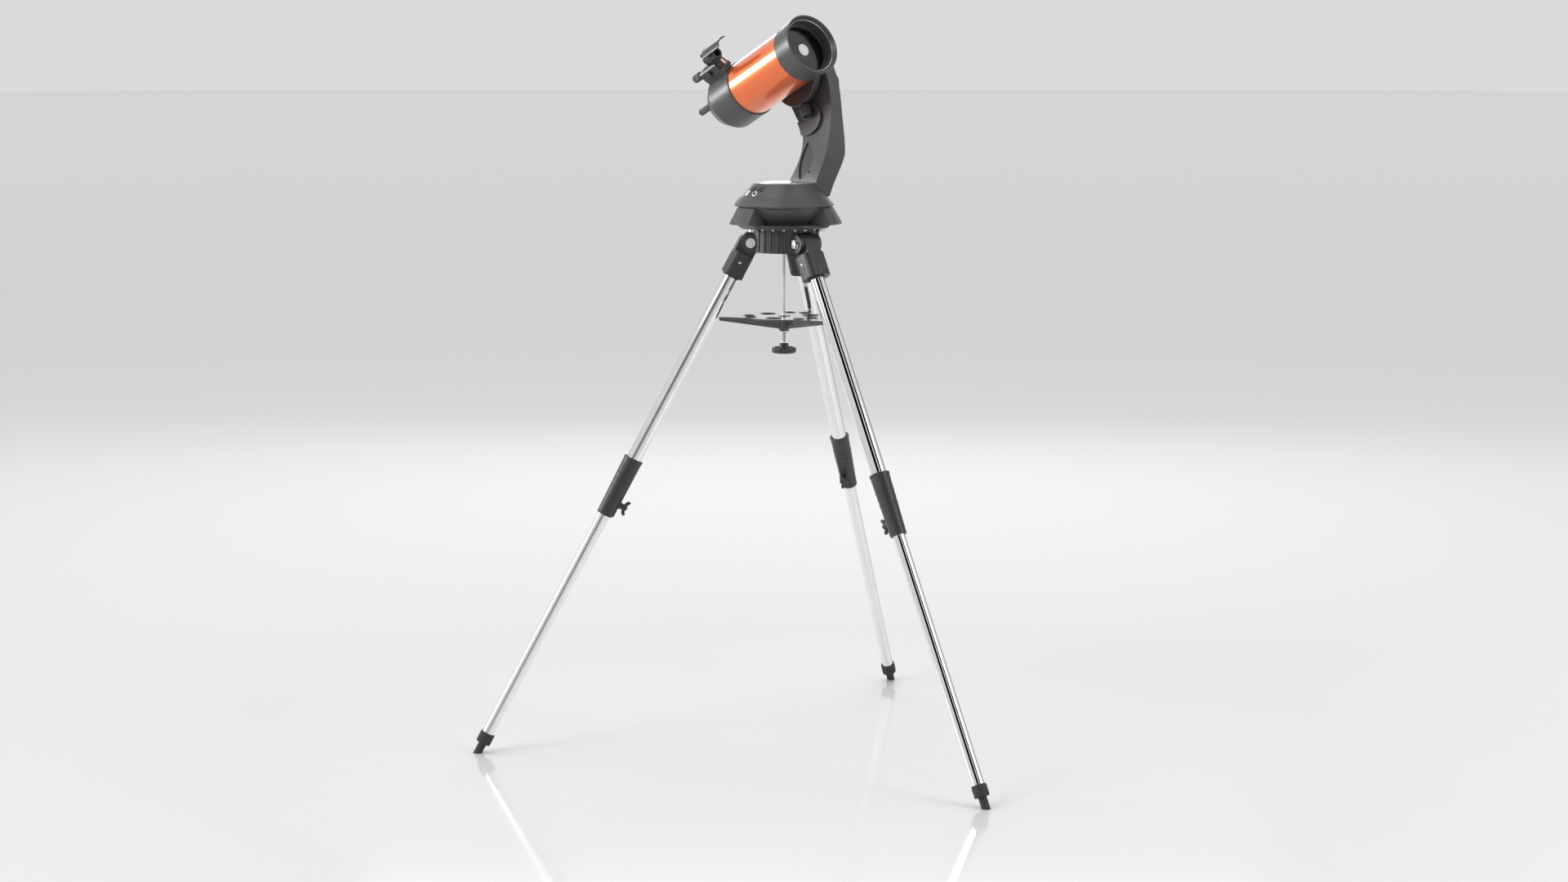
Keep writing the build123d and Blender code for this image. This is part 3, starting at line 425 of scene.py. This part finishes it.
def leg_chrome(number):
    """Drawn and polished tube, with faint lines along its leg."""
    along = leg_place(number).to_3x3()
    return surface(f"leg_chrome_{number}", "polished_steel", (0.83, 0.83, 0.84), 0.075, metal=1.0, grain=900,
                   depth=0.000006, mottle=0.03, edge=0.0, stretch=along, rough_change=0.03)


CHROMES = {number: leg_chrome(number) for number in LEG_NUMBERS}
NODE_LOOKS = {
    charcoal: "base_housing turntable_shell top_cover hand_control_body",
    arm_plastic: "arm_inner_shell arm_outer_shell",
    black_plastic: "saddle_knob focus_knob finder_knob tension_knob power_button finder_body",
    dark_paint: "tripod_head saddle",
    battery_wrap: "battery_pack",
    cell_paint: "front_cell",
    rear_paint: "rear_cell",
    flat_black: "baffle_tube",
    orange: "optical_tube",
    steel: "leg_pivot_bolts mount_screws center_rod tension_spring drive_motors power_jack",
    aluminium: "dovetail_bar visual_back",
    bright_disc: "secondary_cell",
    tray_metal: "brace_tray",
    rubber: "port_covers",
    soft_keys: "keypad key_up key_down key_left key_right",
    brass: "azimuth_wheel altitude_wheel",
    mirror: "primary_mirror secondary_mirror",
    display: "hand_control_display",
    corrector_glass: "corrector_plate",
    pink_glass: "finder_window",
}


def dress(node, material):
    """Give a CAD node its material, in every slot it has."""
    data = nodes[node].data
    data.materials.clear()
    data.materials.append(material)


def dress_all():
    for material, names in NODE_LOOKS.items():
        for name in names.split():
            dress(name, material)
    for number in LEG_NUMBERS:
        for part in ("leg_bracket", "leg_clamp", "clamp_knob"):
            dress(f"{part}_{number}", black_plastic)
        dress(f"rubber_foot_{number}", rubber)
        for part in ("upper_leg_tube", "lower_leg_tube"):
            dress(f"{part}_{number}", CHROMES[number])


dress_all()


# ---------------------------------------------------------------- optical tube

TUBE_R = 59.7
FRONT_SEAM, REAR_SEAM = 49, -117
REAR_FACE = -212
BORE_R = mounts["front_opening"]["dims"]["r_mm"]


def front_details():
    """Bright inner ring, corrector retaining ring with screws, glare threads and the lip's trim."""
    inner = BORE_R
    turned("front_inner_ring", "ota", aluminium, TUBE, wire_outline(inner + 0.1, 89.9, 0.5), steps=128)
    rim = [(60.4, 97.5), (60.8, 98.3), (62.2, 98.6), (63.6, 98.2), (64.3, 97.2), (64.3, 95.4), (63.9, 95.2)]
    turned("front_rim_lip", "ota", cell_paint, TUBE, rim, steps=128)
    retainer = ring_outline(51.5, inner - 0.1, 66.5, 68.6)
    turned("corrector_retainer", "ota", flat_black, TUBE, retainer, steps=128)
    places = round_places(TUBE, 8, 54.1, 68.6, start=11, outward=False)
    screws("retainer_screws", "ota", dark_paint, places, 1.25)
    bm = bmesh.new()
    for i in range(7):
        add_turned(bm, TUBE, wire_outline(inner, (71 + 2.5 * i), 0.35, 6), steps=128)
    finish_mesh(bm, "glare_threads", flat_black, "ota")
    liner = ring_outline(57.0, 57.6, REAR_SEAM + 1, FRONT_SEAM + 5.5)
    turned("tube_liner", "ota", flat_black, TUBE, liner, steps=128)
    step = ring_outline(0.2, 9.2, 68.5, 69.0)
    turned("secondary_boss", "ota", bright_disc, TUBE, step, steps=64)


def seam_details():
    bm = bmesh.new()
    for seam in (FRONT_SEAM + 0.1, REAR_SEAM - 0.1):
        add_turned(bm, TUBE, wire_outline(TUBE_R + 0.15, seam, 0.4, 6), steps=128)
    finish_mesh(bm, "tube_seams", flat_black, "ota")
    bands = bmesh.new()
    for low, radius in ((FRONT_SEAM + 2.2, 61.75), (REAR_SEAM - 4.4, 61.9)):
        add_turned(bands, TUBE, ring_outline(radius - 1.5, radius + 0.25, low, low + 1.2, 0.25), steps=128)
    finish_mesh(bands, "cell_bands", cell_paint, "ota")
    places = round_places(TUBE, 6, 62.15, 58, start=15)
    places += round_places(TUBE, 6, 61.75, -128, start=15)
    screws("cell_screws", "ota", flat_black, places, 1.7)


def rear_details():
    """Steps and screws on the rear cell's back, and the port's knurled ring and thumb screw."""
    bm = bmesh.new()
    for inner, outer in ((24.5, 26.0), (43.2, 45.2)):
        add_turned(bm, TUBE, ring_outline(inner, outer, -213.1, -211.5, 0.3), steps=96)
    finish_mesh(bm, "rear_steps", cell_paint, "ota")
    back = TUBE @ shift(0, 0, REAR_FACE) @ turn(180, "X")
    screws("rear_screws", "ota", steel, round_places(back, 6, 34, 0, start=48, outward=False)[:5], 1.8)
    knurl = ring_outline(19, 23.2, -218.4, -212.2, 0.6)
    grooves = ridged(60, 0.03, (1, 2, 3, 4))
    turned("port_ring", "ota", black_plastic, TUBE, knurl, steps=240, ripple=grooves, sharp=50)
    lip = ring_outline(16.1, 20.0, -240.6, -237.6, 0.5)
    turned("port_lip", "ota", aluminium, TUBE, lip, steps=96)
    thumb = TUBE @ shift(0, 27, -230) @ turn(-90, "X")
    head = [(0, 0), (2.6, 0), (2.6, 1.0), (5.2, 1.4), (5.6, 2.2), (5.6, 6.4), (4.8, 7.2), (0, 7.4)]
    turned("thumb_screw", "ota", steel, thumb, head, steps=120, closed=False,
           ripple=ridged(20, 0.10, (3, 4, 5, 6)), sharp=50)


def knob(name, body, node, place, outline, count, depth, grooved):
    """Ridged knob that stands for a CAD knob."""
    piece = turned(name, body, black_plastic, place, outline, steps=count * 12, closed=False,
                   ripple=ridged(count, depth, grooved), sharp=48)
    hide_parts(node)
    return piece


def tube_knobs():
    focus = TUBE @ shift(-36, 2, REAR_FACE) @ turn(180, "X")
    outline = [(0, -8), (3, -8), (3, 0.2), (5, 0.4), (5, 3.6), (6.6, 4), (7.4, 5), (7.5, 8), (7.5, 36),
               (7.2, 38.4), (6.2, 39.7), (4.6, 40), (4.2, 39.4), (0, 39.4)]
    knob("focus_grip", "focus_knob", "focus_knob", focus, outline, 14, 0.12, (6, 7, 8, 9))
    cap = [(0, 39.6), (3.4, 39.6), (3.4, 39.9), (2.6, 40.05), (0, 40.05)]
    turned("focus_cap", "focus_knob", aluminium, focus, cap, steps=48, closed=False)
    saddle_way = place_at(point(TUBE, 68, 0, PIVOT_STATION), ARM_WAY, -(TUBE.to_3x3() @ Vector((0, 1, 0))))
    outline = [(0, 22), (4, 22), (4, 71), (8, 71), (8, 73), (11.6, 73.4), (12.4, 74.6), (12.5, 77),
               (12.5, 94), (12.1, 96.6), (10.8, 97.8), (8.6, 98), (8.0, 97.3), (0, 97.3)]
    knob("saddle_grip", "saddle_knob", "saddle_knob", saddle_way, outline, 16, 0.10, (6, 7, 8, 9, 10))


front_details()
seam_details()
rear_details()
tube_knobs()


# ---------------------------------------------------------------- finder

def finder_details():
    """Lens and rings of the finder's barrel, its side dials, battery cap, window frame and rear knob."""
    barrel = FINDER @ shift(0, 106, 0)
    bm = bmesh.new()
    add_turned(bm, barrel, ring_outline(8.2, 13.0, -108.4, -105.4, 0.6), steps=72)
    add_turned(bm, barrel, ring_outline(11.5, 13.0, -119.5, -117.0, 0.5), steps=72)
    add_turned(bm, barrel, ring_outline(11.5, 13.2, -142.3, -138.0, 0.8), steps=72)
    finish_mesh(bm, "barrel_rings", black_plastic, "ota")
    lens = [(0, -120.0), (7.9, -122.0), (7.9, -123.4), (0, -123.4)]
    turned("barrel_lens", "ota", pink_glass, barrel, lens, steps=64, closed=False)
    dial = [(0, 10), (4.6, 10), (4.8, 11.2), (6.4, 11.4), (6.8, 12.2), (6.8, 15.6), (6.0, 16.4), (0, 16.6)]
    dial = dial
    bm = bmesh.new()
    for side in (-1, 1):
        place = FINDER @ shift(0, 80, -158) @ turn(90 * side, "Y")
        add_turned(bm, place, dial, steps=120, closed=False, ripple=ridged(15, 0.12, (3, 4, 5, 6)))
    finish_mesh(bm, "finder_dials", black_plastic, "ota", sharp=48)
    cap = FINDER @ shift(0, 92, -168) @ turn(-90, "X")
    rim = [(0, -0.4), (8.4, -0.4), (8.4, 0.8), (7.8, 1.4), (6.4, 1.4), (6.0, 0.9), (0, 0.9)]
    turned("battery_cap", "ota", dark_paint, cap, rim, steps=64, closed=False)
    blocks("battery_cap_slot", "ota", flat_black, [cap @ shift(0, 0, 0.9)], (9, 1.4, 0.6), 0.2)
    pane = FINDER @ shift(0, 74, -116) @ turn(-8, "X")
    frame_bars = [pane @ shift(side * 10.2, 6.5, 0) for side in (-1, 1)]
    blocks("window_posts", "ota", black_plastic, frame_bars, (1.6, 17, 3.4), 0.4)
    blocks("window_bar", "ota", black_plastic, [pane @ shift(0, 14.8, 0)], (22, 1.6, 3.4), 0.4)
    places = [FINDER @ shift(side * 8.5, 68.2, z) @ turn(-90, "X") for side in (-1, 1) for z in (-122, -125)]
    screws("finder_shoe_screws", "ota", steel, places[::2], 1.6)
    rear = FINDER @ shift(0, 86, -188) @ turn(180, "X")
    outline = [(0, -4), (3, -4), (3, 0), (7.8, 0.2), (8.8, 1.2), (9, 3), (9, 20), (8.4, 22.8), (7, 23.8),
               (5.4, 24), (5.0, 23.3), (0, 23.3)]
    knob("finder_grip", "finder_knob", "finder_knob", rear, outline, 14, 0.10, (4, 5, 6, 7))
    spot = [(0, 23.2), (4.4, 23.2), (4.4, 23.8), (3.6, 24.1), (0, 24.1)]
    turned("finder_knob_cap", "finder_knob", aluminium, rear, spot, steps=48, closed=False)


finder_details()


# ---------------------------------------------------------------- arm and saddle

def arm_details():
    """Screws in the arm's inner face, the pivot's collar, the outer cap and its screws, and the saddle's step and
    band.
    """
    to_arm = MOUNT.to_3x3() @ Vector((1, 0, 0))
    spots = ((36, 1352), (-22, 1217))
    tree = surface_tree("arm_inner_shell")
    places = [surface_place(tree, point(MOUNT, 20, y, z), to_arm) for y, z in spots]
    screws("arm_screws", "mount", leaf_plastic, places, 2.8)
    pivot = place_at(PIVOT, UP, ARM_WAY)
    collar = ring_outline(29, 34, 85.6, 87.4, 0.5)
    turned("pivot_collar", "mount", black_plastic, pivot, collar, steps=96)
    cap = [(0, 114.6), (44, 114.6), (44, 115.6), (43, 116.4), (38, 116.6), (36.5, 115.8), (0, 115.8)]
    turned("arm_cap", "mount", charcoal, pivot, cap, steps=128, closed=False)
    screws("arm_cap_screws", "mount", steel, round_places(pivot, 3, 40.5, 116.4, 30, outward=False), 1.8)
    face = [(0, 79.6), (58, 79.6), (58, 80.3), (57, 80.8), (55, 80.8), (54, 80.2), (0, 80.2)]
    turned("saddle_step", "saddle", dark_paint, pivot, face, steps=128, closed=False)
    band = ring_outline(54.5, 57.5, 80.1, 80.9, 0.2)
    turned("saddle_band", "saddle", dark_paint, pivot, band, steps=96)


def arc_height(sagitta, u):
    """Height over its chord of an arc that is LEAF_HALF each way, at the share u of the half chord."""
    radius = (LEAF_HALF ** 2 + sagitta ** 2) / (2 * sagitta)
    return (radius ** 2 - (LEAF_HALF * u) ** 2) ** 0.5 - (radius - sagitta)


def leaf_panel():
    """Darker panel on the floor of the leaf-shaped recess low on the arm."""
    tree = surface_tree("arm_inner_shell")
    to_arm = MOUNT.to_3x3() @ Vector((1, 0, 0))
    bm = bmesh.new()
    rows = []
    for i in range(25):
        u = 0.94 * (i / 12 - 1)
        z = LEAF_MIDDLE + LEAF_HALF * u
        front, rear = LEAF_CHORD + 1 - arc_height(28, u), LEAF_CHORD - 1 + arc_height(8.5, u)
        row = []
        for j in range(9):
            start = point(MOUNT, 20, front + (rear - front) * j / 8, z)
            row.append(bm.verts.new(tree.ray_cast(start, to_arm)[0] - to_arm * 0.2 * MM))
        rows.append(row)
    for low, high in zip(rows, rows[1:]):
        for j in range(8):
            bm.faces.new((low[j], low[j + 1], high[j + 1], high[j]))
    bmesh.ops.solidify(bm, geom=bm.faces[:], thickness=0.5 * MM)
    finish_mesh(bm, "leaf_panel", leaf_plastic, "mount")


LEAF_MIDDLE, LEAF_HALF, LEAF_CHORD = 1238.5, 38.5, 3.0
arm_details()
leaf_panel()


# ---------------------------------------------------------------- base

def cone_place(azimuth, height):
    """Place on the cover's cone, Z out of the surface, X level."""
    slope = (89.2 - 63.2 - 1.2) / (1194 - 1166)
    radius = (89.2 - slope * (height - 1166))
    a = radians(azimuth)
    origin = point(MOUNT, radius * cos(a), radius * sin(a), height)
    spin = MOUNT.to_3x3()
    return place_at(origin, spin @ Vector((-sin(a), cos(a), 0)), spin @ Vector((cos(a), sin(a), slope)))


def base_details():
    """Battery door, seams, bright bezels and port frames on the cover, and its top ring."""
    # The battery door carries the cover top's painted highlight.
    door = [(0, 1195), (52, 1195), (52, 1195.5), (51, 1196), (46, 1196), (45, 1195.6), (0, 1195.6)]
    turned("battery_door", "mount", painted_highlight_top, MOUNT, door, steps=128, closed=False)
    blocks("door_latch", "mount", black_plastic, [MOUNT @ shift(0, -40, 1195.8)], (16, 6, 1.2), 0.4)
    bm = bmesh.new()
    add_turned(bm, MOUNT, wire_outline(89.3, 1166.0, 0.45, 6), steps=144)
    add_turned(bm, MOUNT, wire_outline(97.0, 1146.5, 0.6, 6), steps=144)
    finish_mesh(bm, "base_seams", flat_black, "mount")
    bm = bmesh.new()
    add_turned(bm, cone_place(164, 1174.5), ring_outline(4.2, 6.9, 0.6, 2.0, 0.4), steps=48)
    add_turned(bm, cone_place(182, 1174.5), ring_outline(4.4, 6.4, -0.4, 1.4, 0.4), steps=48)
    finish_mesh(bm, "fitting_bezels", bright_disc, "mount")
    bars = []
    for azimuth in (170, 188):
        place = cone_place(azimuth, 1184.5)
        for side in (-1, 1):
            bars.append(place @ shift(0, side * 5.6, 0.3))
    blocks("port_frames", "mount", black_plastic, bars, (14.5, 1.0, 1.2), 0.3)
    # Top ring of the cover, also in the painted highlight.
    rim = ring_outline(52.6, 62.6, 1194.8, 1195.25, 0.15)
    turned("cover_top_painted_highlight", "mount", painted_highlight_top, MOUNT, rim, steps=144)


def head_details():
    """Ribs round the hub, bolt heads under the disc and washers under the pivot bolts."""
    ribs = []
    for azimuth in range(0, 360, 120):
        for step in (-24, -12, 0, 12, 24):
            ribs.append(HEAD @ turn(azimuth + step) @ shift(71.4, 0, 1077))
    blocks("hub_ribs", "head", dark_paint, ribs, (3.2, 3.4, 44), 1.0)
    under = HEAD @ shift(0, 0, 1102) @ turn(180, "X")
    heads = [place for i, place in enumerate(round_places(under, 24, 87.5, 0, start=7.5, outward=False))]
    bm = bmesh.new()
    dome = [(0, -0.3), (3.1, -0.3), (3.1, 0.8), (2.6, 1.8), (1.4, 2.3), (0, 2.4)]
    for place in heads:
        add_turned(bm, place, dome, steps=24, closed=False)
    finish_mesh(bm, "disc_bolts", steel, "head")
    bm = bmesh.new()
    for number, azimuth in zip(LEG_NUMBERS, LEG_AZIMUTHS):
        pivot = HEAD @ turn(azimuth) @ shift(LEG_PIVOT_R, 0, LEG_PIVOT_HEIGHT)
        for side in (-1, 1):
            place = pivot @ turn(-90 * side, "X")
            add_turned(bm, place, ring_outline(5.2, 10.4, 27.0, 28.2, 0.3), steps=48)
            add_turned(bm, place, [(0, 32.9), (4.6, 32.9), (4.0, 33.6), (0, 33.7)], 24, False)
    finish_mesh(bm, "pivot_washers", steel, "head")


base_details()
head_details()


# ---------------------------------------------------------------- legs

def wing_knob(number):
    """Wing knob with a domed hub and two rounded wings, standing for the CAD knob."""
    leg = leg_place(number)
    place = leg @ shift(0, 0, 604) @ turn(-90, "Y")
    bm = bmesh.new()
    stem = [(0, 13.3), (3, 13.3), (3, 24), (6.2, 24.2), (6.6, 25), (6.2, 31), (5.4, 35.4), (3.4, 36.8),
            (0, 37.2)]
    add_turned(bm, place, stem, steps=48, closed=False)
    wing = [(0, 27), (4.6, 27.4), (9, 28.6), (13.2, 30.6), (15.8, 33.2), (16.2, 36.4), (14.6, 38.4),
            (11.4, 38.2), (8, 35.6), (4.6, 33.8), (0, 33.6)]
    for side in (-1, 1):
        for half in (-1, 1):
            front = [bm.verts.new(point(place, side * x, half * 2.3, z)) for x, z in wing]
            middle = sum((v.co for v in front), Vector()) / len(front)
            raised = place.to_3x3() @ Vector((0, half * 0.7 * MM, 0))
            inner = [bm.verts.new(v.co + (middle - v.co) * 0.16 + raised) for v in front]
            bm.faces.new(inner)
            for i in range(len(wing)):
                j = (i + 1) % len(wing)
                bm.faces.new((front[i], front[j], inner[j], inner[i]))
            if half < 0:
                low = front
        for i in range(len(wing)):
            j = (i + 1) % len(wing)
            bm.faces.new((low[i], low[j], front[j], front[i]))
    piece = finish_mesh(bm, f"wing_knob_{number}", black_plastic, f"clamp_knob_{number}", sharp=40)
    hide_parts(f"clamp_knob_{number}")


def leg_details(number):
    """Collars and ribs on the bracket and clamp, and the foot's tread."""
    leg = leg_place(number)
    body, slider = f"leg_{number}", f"lower_leg_{number}"
    bm = bmesh.new()
    add_turned(bm, leg, ring_outline(16.0, 18.4, 1136.5, 1140.5, 0.8), steps=64)
    add_turned(bm, leg, ring_outline(16.0, 21.2, 701, 706, 1.2), steps=64)
    add_turned(bm, leg, ring_outline(12.9, 17.2, 572.5, 577, 1.0), steps=64)
    for i in range(3):
        z = 640 + 14 * i
        radius = 17.0 + 3.2 * (z - 578.5) / 120
        add_turned(bm, leg, wire_outline(radius + 0.1, z, 0.7), steps=64)
    finish_mesh(bm, f"clamp_collars_{number}", black_plastic, body)
    boss = leg @ shift(0, 0, 604) @ turn(-90, "Y")
    turned(f"clamp_boss_{number}", body, steel, boss, ring_outline(3.3, 5.6, 22.6, 23.8, 0.2), steps=6)
    rails = [leg @ turn(a) @ shift(22.2, 0, 1164) for a in (0, 180)]
    blocks(f"bracket_rails_{number}", body, black_plastic, rails, (1.6, 9, 44), 0.6)
    heights = (1144, 1149)
    sides = [leg @ turn(a) @ shift(22.1, 0, z) for a in (0, 180) for z in heights]
    blocks(f"bracket_bands_{number}", body, black_plastic, sides, (1.2, 38, 1.8), 0.5)
    ends = [leg @ turn(a) @ shift(19.5, 0, z) for a in (90, 270) for z in heights]
    blocks(f"bracket_bars_{number}", body, black_plastic, ends, (1.2, 43, 1.8), 0.5)
    screws(f"bracket_screws_{number}", body, steel,
           [leg @ turn(a) @ shift(0, -26.9, 1172) @ turn(90, "X") for a in (0, 180)], 3.0)
    bm = bmesh.new()
    for i in range(3):
        add_turned(bm, leg, wire_outline(15.5, (29 + 6 * i), 0.6), steps=64)
    add_turned(bm, leg, ring_outline(12.8, 15.2, 45.5, 48, 0.7), steps=64)
    finish_mesh(bm, f"foot_ribs_{number}", rubber, slider)
    wing_knob(number)


for leg_number in LEG_NUMBERS:
    leg_details(leg_number)


# ---------------------------------------------------------------- brace

def brace_details():
    """Rims round the tray's holes, its hub ring, and the dished knob under the spring."""
    top = 917
    bm = bmesh.new()
    for azimuth in (0, 120, 240):
        spot = HEAD @ turn(azimuth) @ shift(56, 0, top)
        add_turned(bm, spot, ring_outline(16.5, 17.9, -0.5, 0.9, 0.4), steps=64)
    for azimuth in LEG_AZIMUTHS:
        for side in (-1, 1):
            spot = HEAD @ turn(azimuth) @ shift(72, side * 17, top)
            add_turned(bm, spot, ring_outline(12, 13.2, -0.5, 0.9, 0.4), steps=64)
    add_turned(bm, HEAD @ shift(0, 0, top), ring_outline(3.4, 13, -0.5, 1.6, 0.6), steps=64)
    finish_mesh(bm, "tray_rims", tray_metal, "brace")
    under = []
    for azimuth in LEG_AZIMUTHS:
        for side in (-1, 1):
            under.append(HEAD @ turn(azimuth + side * 19) @ shift(52, 0, top - 5.5))
    blocks("tray_webs", "brace", tray_metal, under, (60, 2.0, 6), 0.6)
    outline = [(3.1, 860), (7.6, 860), (9.2, 858.6), (9.5, 856), (9.7, 851), (11.6, 848.6), (20.6, 848.0),
               (22.6, 850.2),
               (24.2, 850.9), (25.4, 850.0), (25.5, 847.5), (25.5, 843), (24.8, 840.6), (22.4, 839.1), (11,
                                                                                                        839),
               (10, 840.4), (3.1, 840.4)]
    piece = turned("tension_grip", "tension_knob", black_plastic, HEAD, outline, steps=144,
                   ripple=ridged(12, 0.055, (8, 9, 10, 11, 12, 13)), sharp=48)
    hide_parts("tension_knob")
    nut = ring_outline(3.2, 7, 838.6, 841, 0.3)
    turned("tension_nut", "tension_knob", steel, HEAD, nut, steps=6)
    washers = bmesh.new()
    for height in (860.2, 884.4):
        add_turned(washers, HEAD, ring_outline(3.2, 8.4, height, (height + 1.2), 0.2), steps=48)
    finish_mesh(washers, "spring_washers", steel, "tension_knob")


brace_details()


# ---------------------------------------------------------------- hand control

def hand_details():
    """Display bezel, marks on the direction keys, lamp and grip ridges."""
    face = 119
    out = HAND @ place_at((face * MM, 0, 0), (0, 1, 0), (1, 0, 0))
    bezel = []
    for side in (-1, 1):
        bezel.append(out @ shift(0, (66 + side * 9.2), 0.2))
    blocks("display_bezel", "hand_control", black_plastic, bezel, (47, 1.8, 1.6), 0.5)
    ends = [out @ shift(side * 22.8, 66, 0.2) for side in (-1, 1)]
    blocks("display_ends", "hand_control", black_plastic, ends, (1.8, 20, 1.6), 0.5)
    keys = (("up", 0, 46, 90), ("down", 0, 20, -90), ("left", -15, 33, 180), ("right", 15, 33, 0))
    for name, y, z, spin in keys:
        place = out @ shift(y, z, 1.5) @ turn(spin)
        mark = [(2.2, 0), (2.2, 0.1), (1.6, 0.35), (0, 0.35)]
        turned(f"mark_{name}", f"key_{name}", bright_disc, place, [(0, 0)] + mark, steps=3, closed=False,
               sharp=10)
    grips = []
    for side in (-1, 1):
        for i in range(7):
            grips.append(HAND @ shift(111, side * 30, (-30 + 8 * i)))
    blocks("grip_ridges", "hand_control", black_plastic, grips, (9, 0.9, 3), 0.35)
    screws("hand_lamp", "hand_control", bright_disc, [out @ shift(20, 50, 0)], 1.4)


hand_details()


# ---------------------------------------------------------------- studio

def studio_floor():
    """Glossy pale floor with painted light: painted shade, darker grey round the object's feet; a painted pool of
    light, whitest in a broad ring round the object; and greyer far away, where the painted light falls off.
    """
    mesh = bpy.data.meshes.new("floor")
    bm = bmesh.new()
    bmesh.ops.create_circle(bm, cap_ends=True, radius=70, segments=96)
    bm.to_mesh(mesh)
    bm.free()
    floor = bpy.data.objects.new("floor", mesh)
    bpy.context.scene.collection.objects.link(floor)
    floor.location = (AXIS.x, 0, -0.0005)
    material = bpy.data.materials.new("studio_floor")
    material.use_nodes = True
    tree = material.node_tree
    shader = tree.nodes["Principled BSDF"]
    where = node_of(tree, "ShaderNodeTexCoord").outputs["Object"]
    length = node_of(tree, "ShaderNodeVectorMath", operation="LENGTH")
    tree.links.new(where, length.inputs[0])
    # Painted shade round the feet: 0.68 grey within 1.2 m, whitening to 0.94 by 4.6 m.
    painted_shade_and_pool = mixed(tree, spread(tree, length.outputs["Value"], 0, 1, 1.2, 4.6), (0.68, 0.68, 0.68),
                 (0.94, 0.94, 0.94))
    # Painted pool of light out to 8 m, then painted falloff to grey by 26 m.
    painted_floor_light = mixed(tree, spread(tree, length.outputs["Value"], 0, 1, 5.4, 7.2), painted_shade_and_pool, (0.93, 0.93, 0.93))
    painted_floor_light = mixed(tree, spread(tree, length.outputs["Value"], 0, 1, 8.0, 26.0), painted_floor_light, (0.82, 0.82, 0.82))
    tree.links.new(painted_floor_light, shader.inputs["Base Color"])
    shader.inputs["Roughness"].default_value = 0.10
    shader.inputs["Specular IOR Level"].default_value = 0.5
    mesh.materials.append(material)


def soft_light(name, place, target, size, power, spread_angle=180):
    data = bpy.data.lights.new(name, "AREA")
    data.spread = radians(spread_angle)
    data.shape = "RECTANGLE"
    data.size, data.size_y = size
    data.energy = power
    light = bpy.data.objects.new(name, data)
    bpy.context.scene.collection.objects.link(light)
    light.location = place
    light.rotation_euler = (Vector(target) - Vector(place)).to_track_quat("-Z", "Y").to_euler()


def studio_lights():
    soft_light("key", (-3.9, -2.3, 4.2), (0.1, 0, 1.1), (2.2, 2.2), 105)
    soft_light("fill", (3.8, -2.6, 2.6), (0.1, 0, 0.9), (1.6, 2.6), 50)
    soft_light("top", (0.2, 0.6, 4.6), (0.16, 0, 1.0), (3.0, 3.0), 80)
    soft_light("back", (0.8, 4.2, 2.6), (0.1, 0, 1.0), (3.4, 1.6), 60)
    soft_light("strip", (-4.2, 1.1, 1.55), (0.1, 0, 1.44), (2.0, 1.0), 11, spread_angle=50)


def studio_world():
    """Pale surroundings with a few upright dark strips, which the chrome picks up."""
    world = bpy.data.worlds.new("studio")
    bpy.context.scene.world = world
    world.use_nodes = True
    tree = world.node_tree
    background = tree.nodes["Background"]
    way = node_of(tree, "ShaderNodeTexCoord").outputs["Generated"]
    parts = node_of(tree, "ShaderNodeSeparateXYZ")
    tree.links.new(way, parts.inputs[0])
    bearing = node_of(tree, "ShaderNodeMath", operation="ARCTAN2")
    tree.links.new(parts.outputs["Y"], bearing.inputs[0])
    tree.links.new(parts.outputs["X"], bearing.inputs[1])
    height = spread(tree, parts.outputs["Z"], 0.0, 1.0, 0.25, 0.8)
    level = mixed(tree, height, (0.80, 0.80, 0.80), (0.92, 0.92, 0.92))
    dark = mixed(tree, spread(tree, parts.outputs["Z"], 0.0, 1.0, 0.04, 0.30), (0.38, 0.38, 0.38), (0.0, 0.0,
                                                                                                    0.0))
    for centre, half_width in ((-58, 14), (-110, 17), (36, 7)):
        offset = node_of(tree, "ShaderNodeMath", operation="SUBTRACT")
        tree.links.new(bearing.outputs[0], offset.inputs[0])
        offset.inputs[1].default_value = radians(centre)
        distance = node_of(tree, "ShaderNodeMath", operation="ABSOLUTE")
        tree.links.new(offset.outputs[0], distance.inputs[0])
        strip = spread(tree, distance.outputs[0], 0.0, 1.0, radians(half_width), radians(half_width + 4))
        level = mixed(tree, strip, dark, level)
    tree.links.new(level, background.inputs["Color"])
    background.inputs["Strength"].default_value = 0.88


def studio_camera():
    data = bpy.data.cameras.new("camera")
    data.lens = 64.9
    data.sensor_width = 36.0
    camera = bpy.data.objects.new("camera", data)
    bpy.context.scene.collection.objects.link(camera)
    camera.location = (-0.5916, -5.8465, 1.5046)
    camera.rotation_euler = (radians(90 - 8.228), 0, radians(-7.354))
    bpy.context.scene.camera = camera


studio_floor()
studio_lights()
studio_world()
studio_camera()
bpy.context.scene.view_settings.view_transform = "Standard"
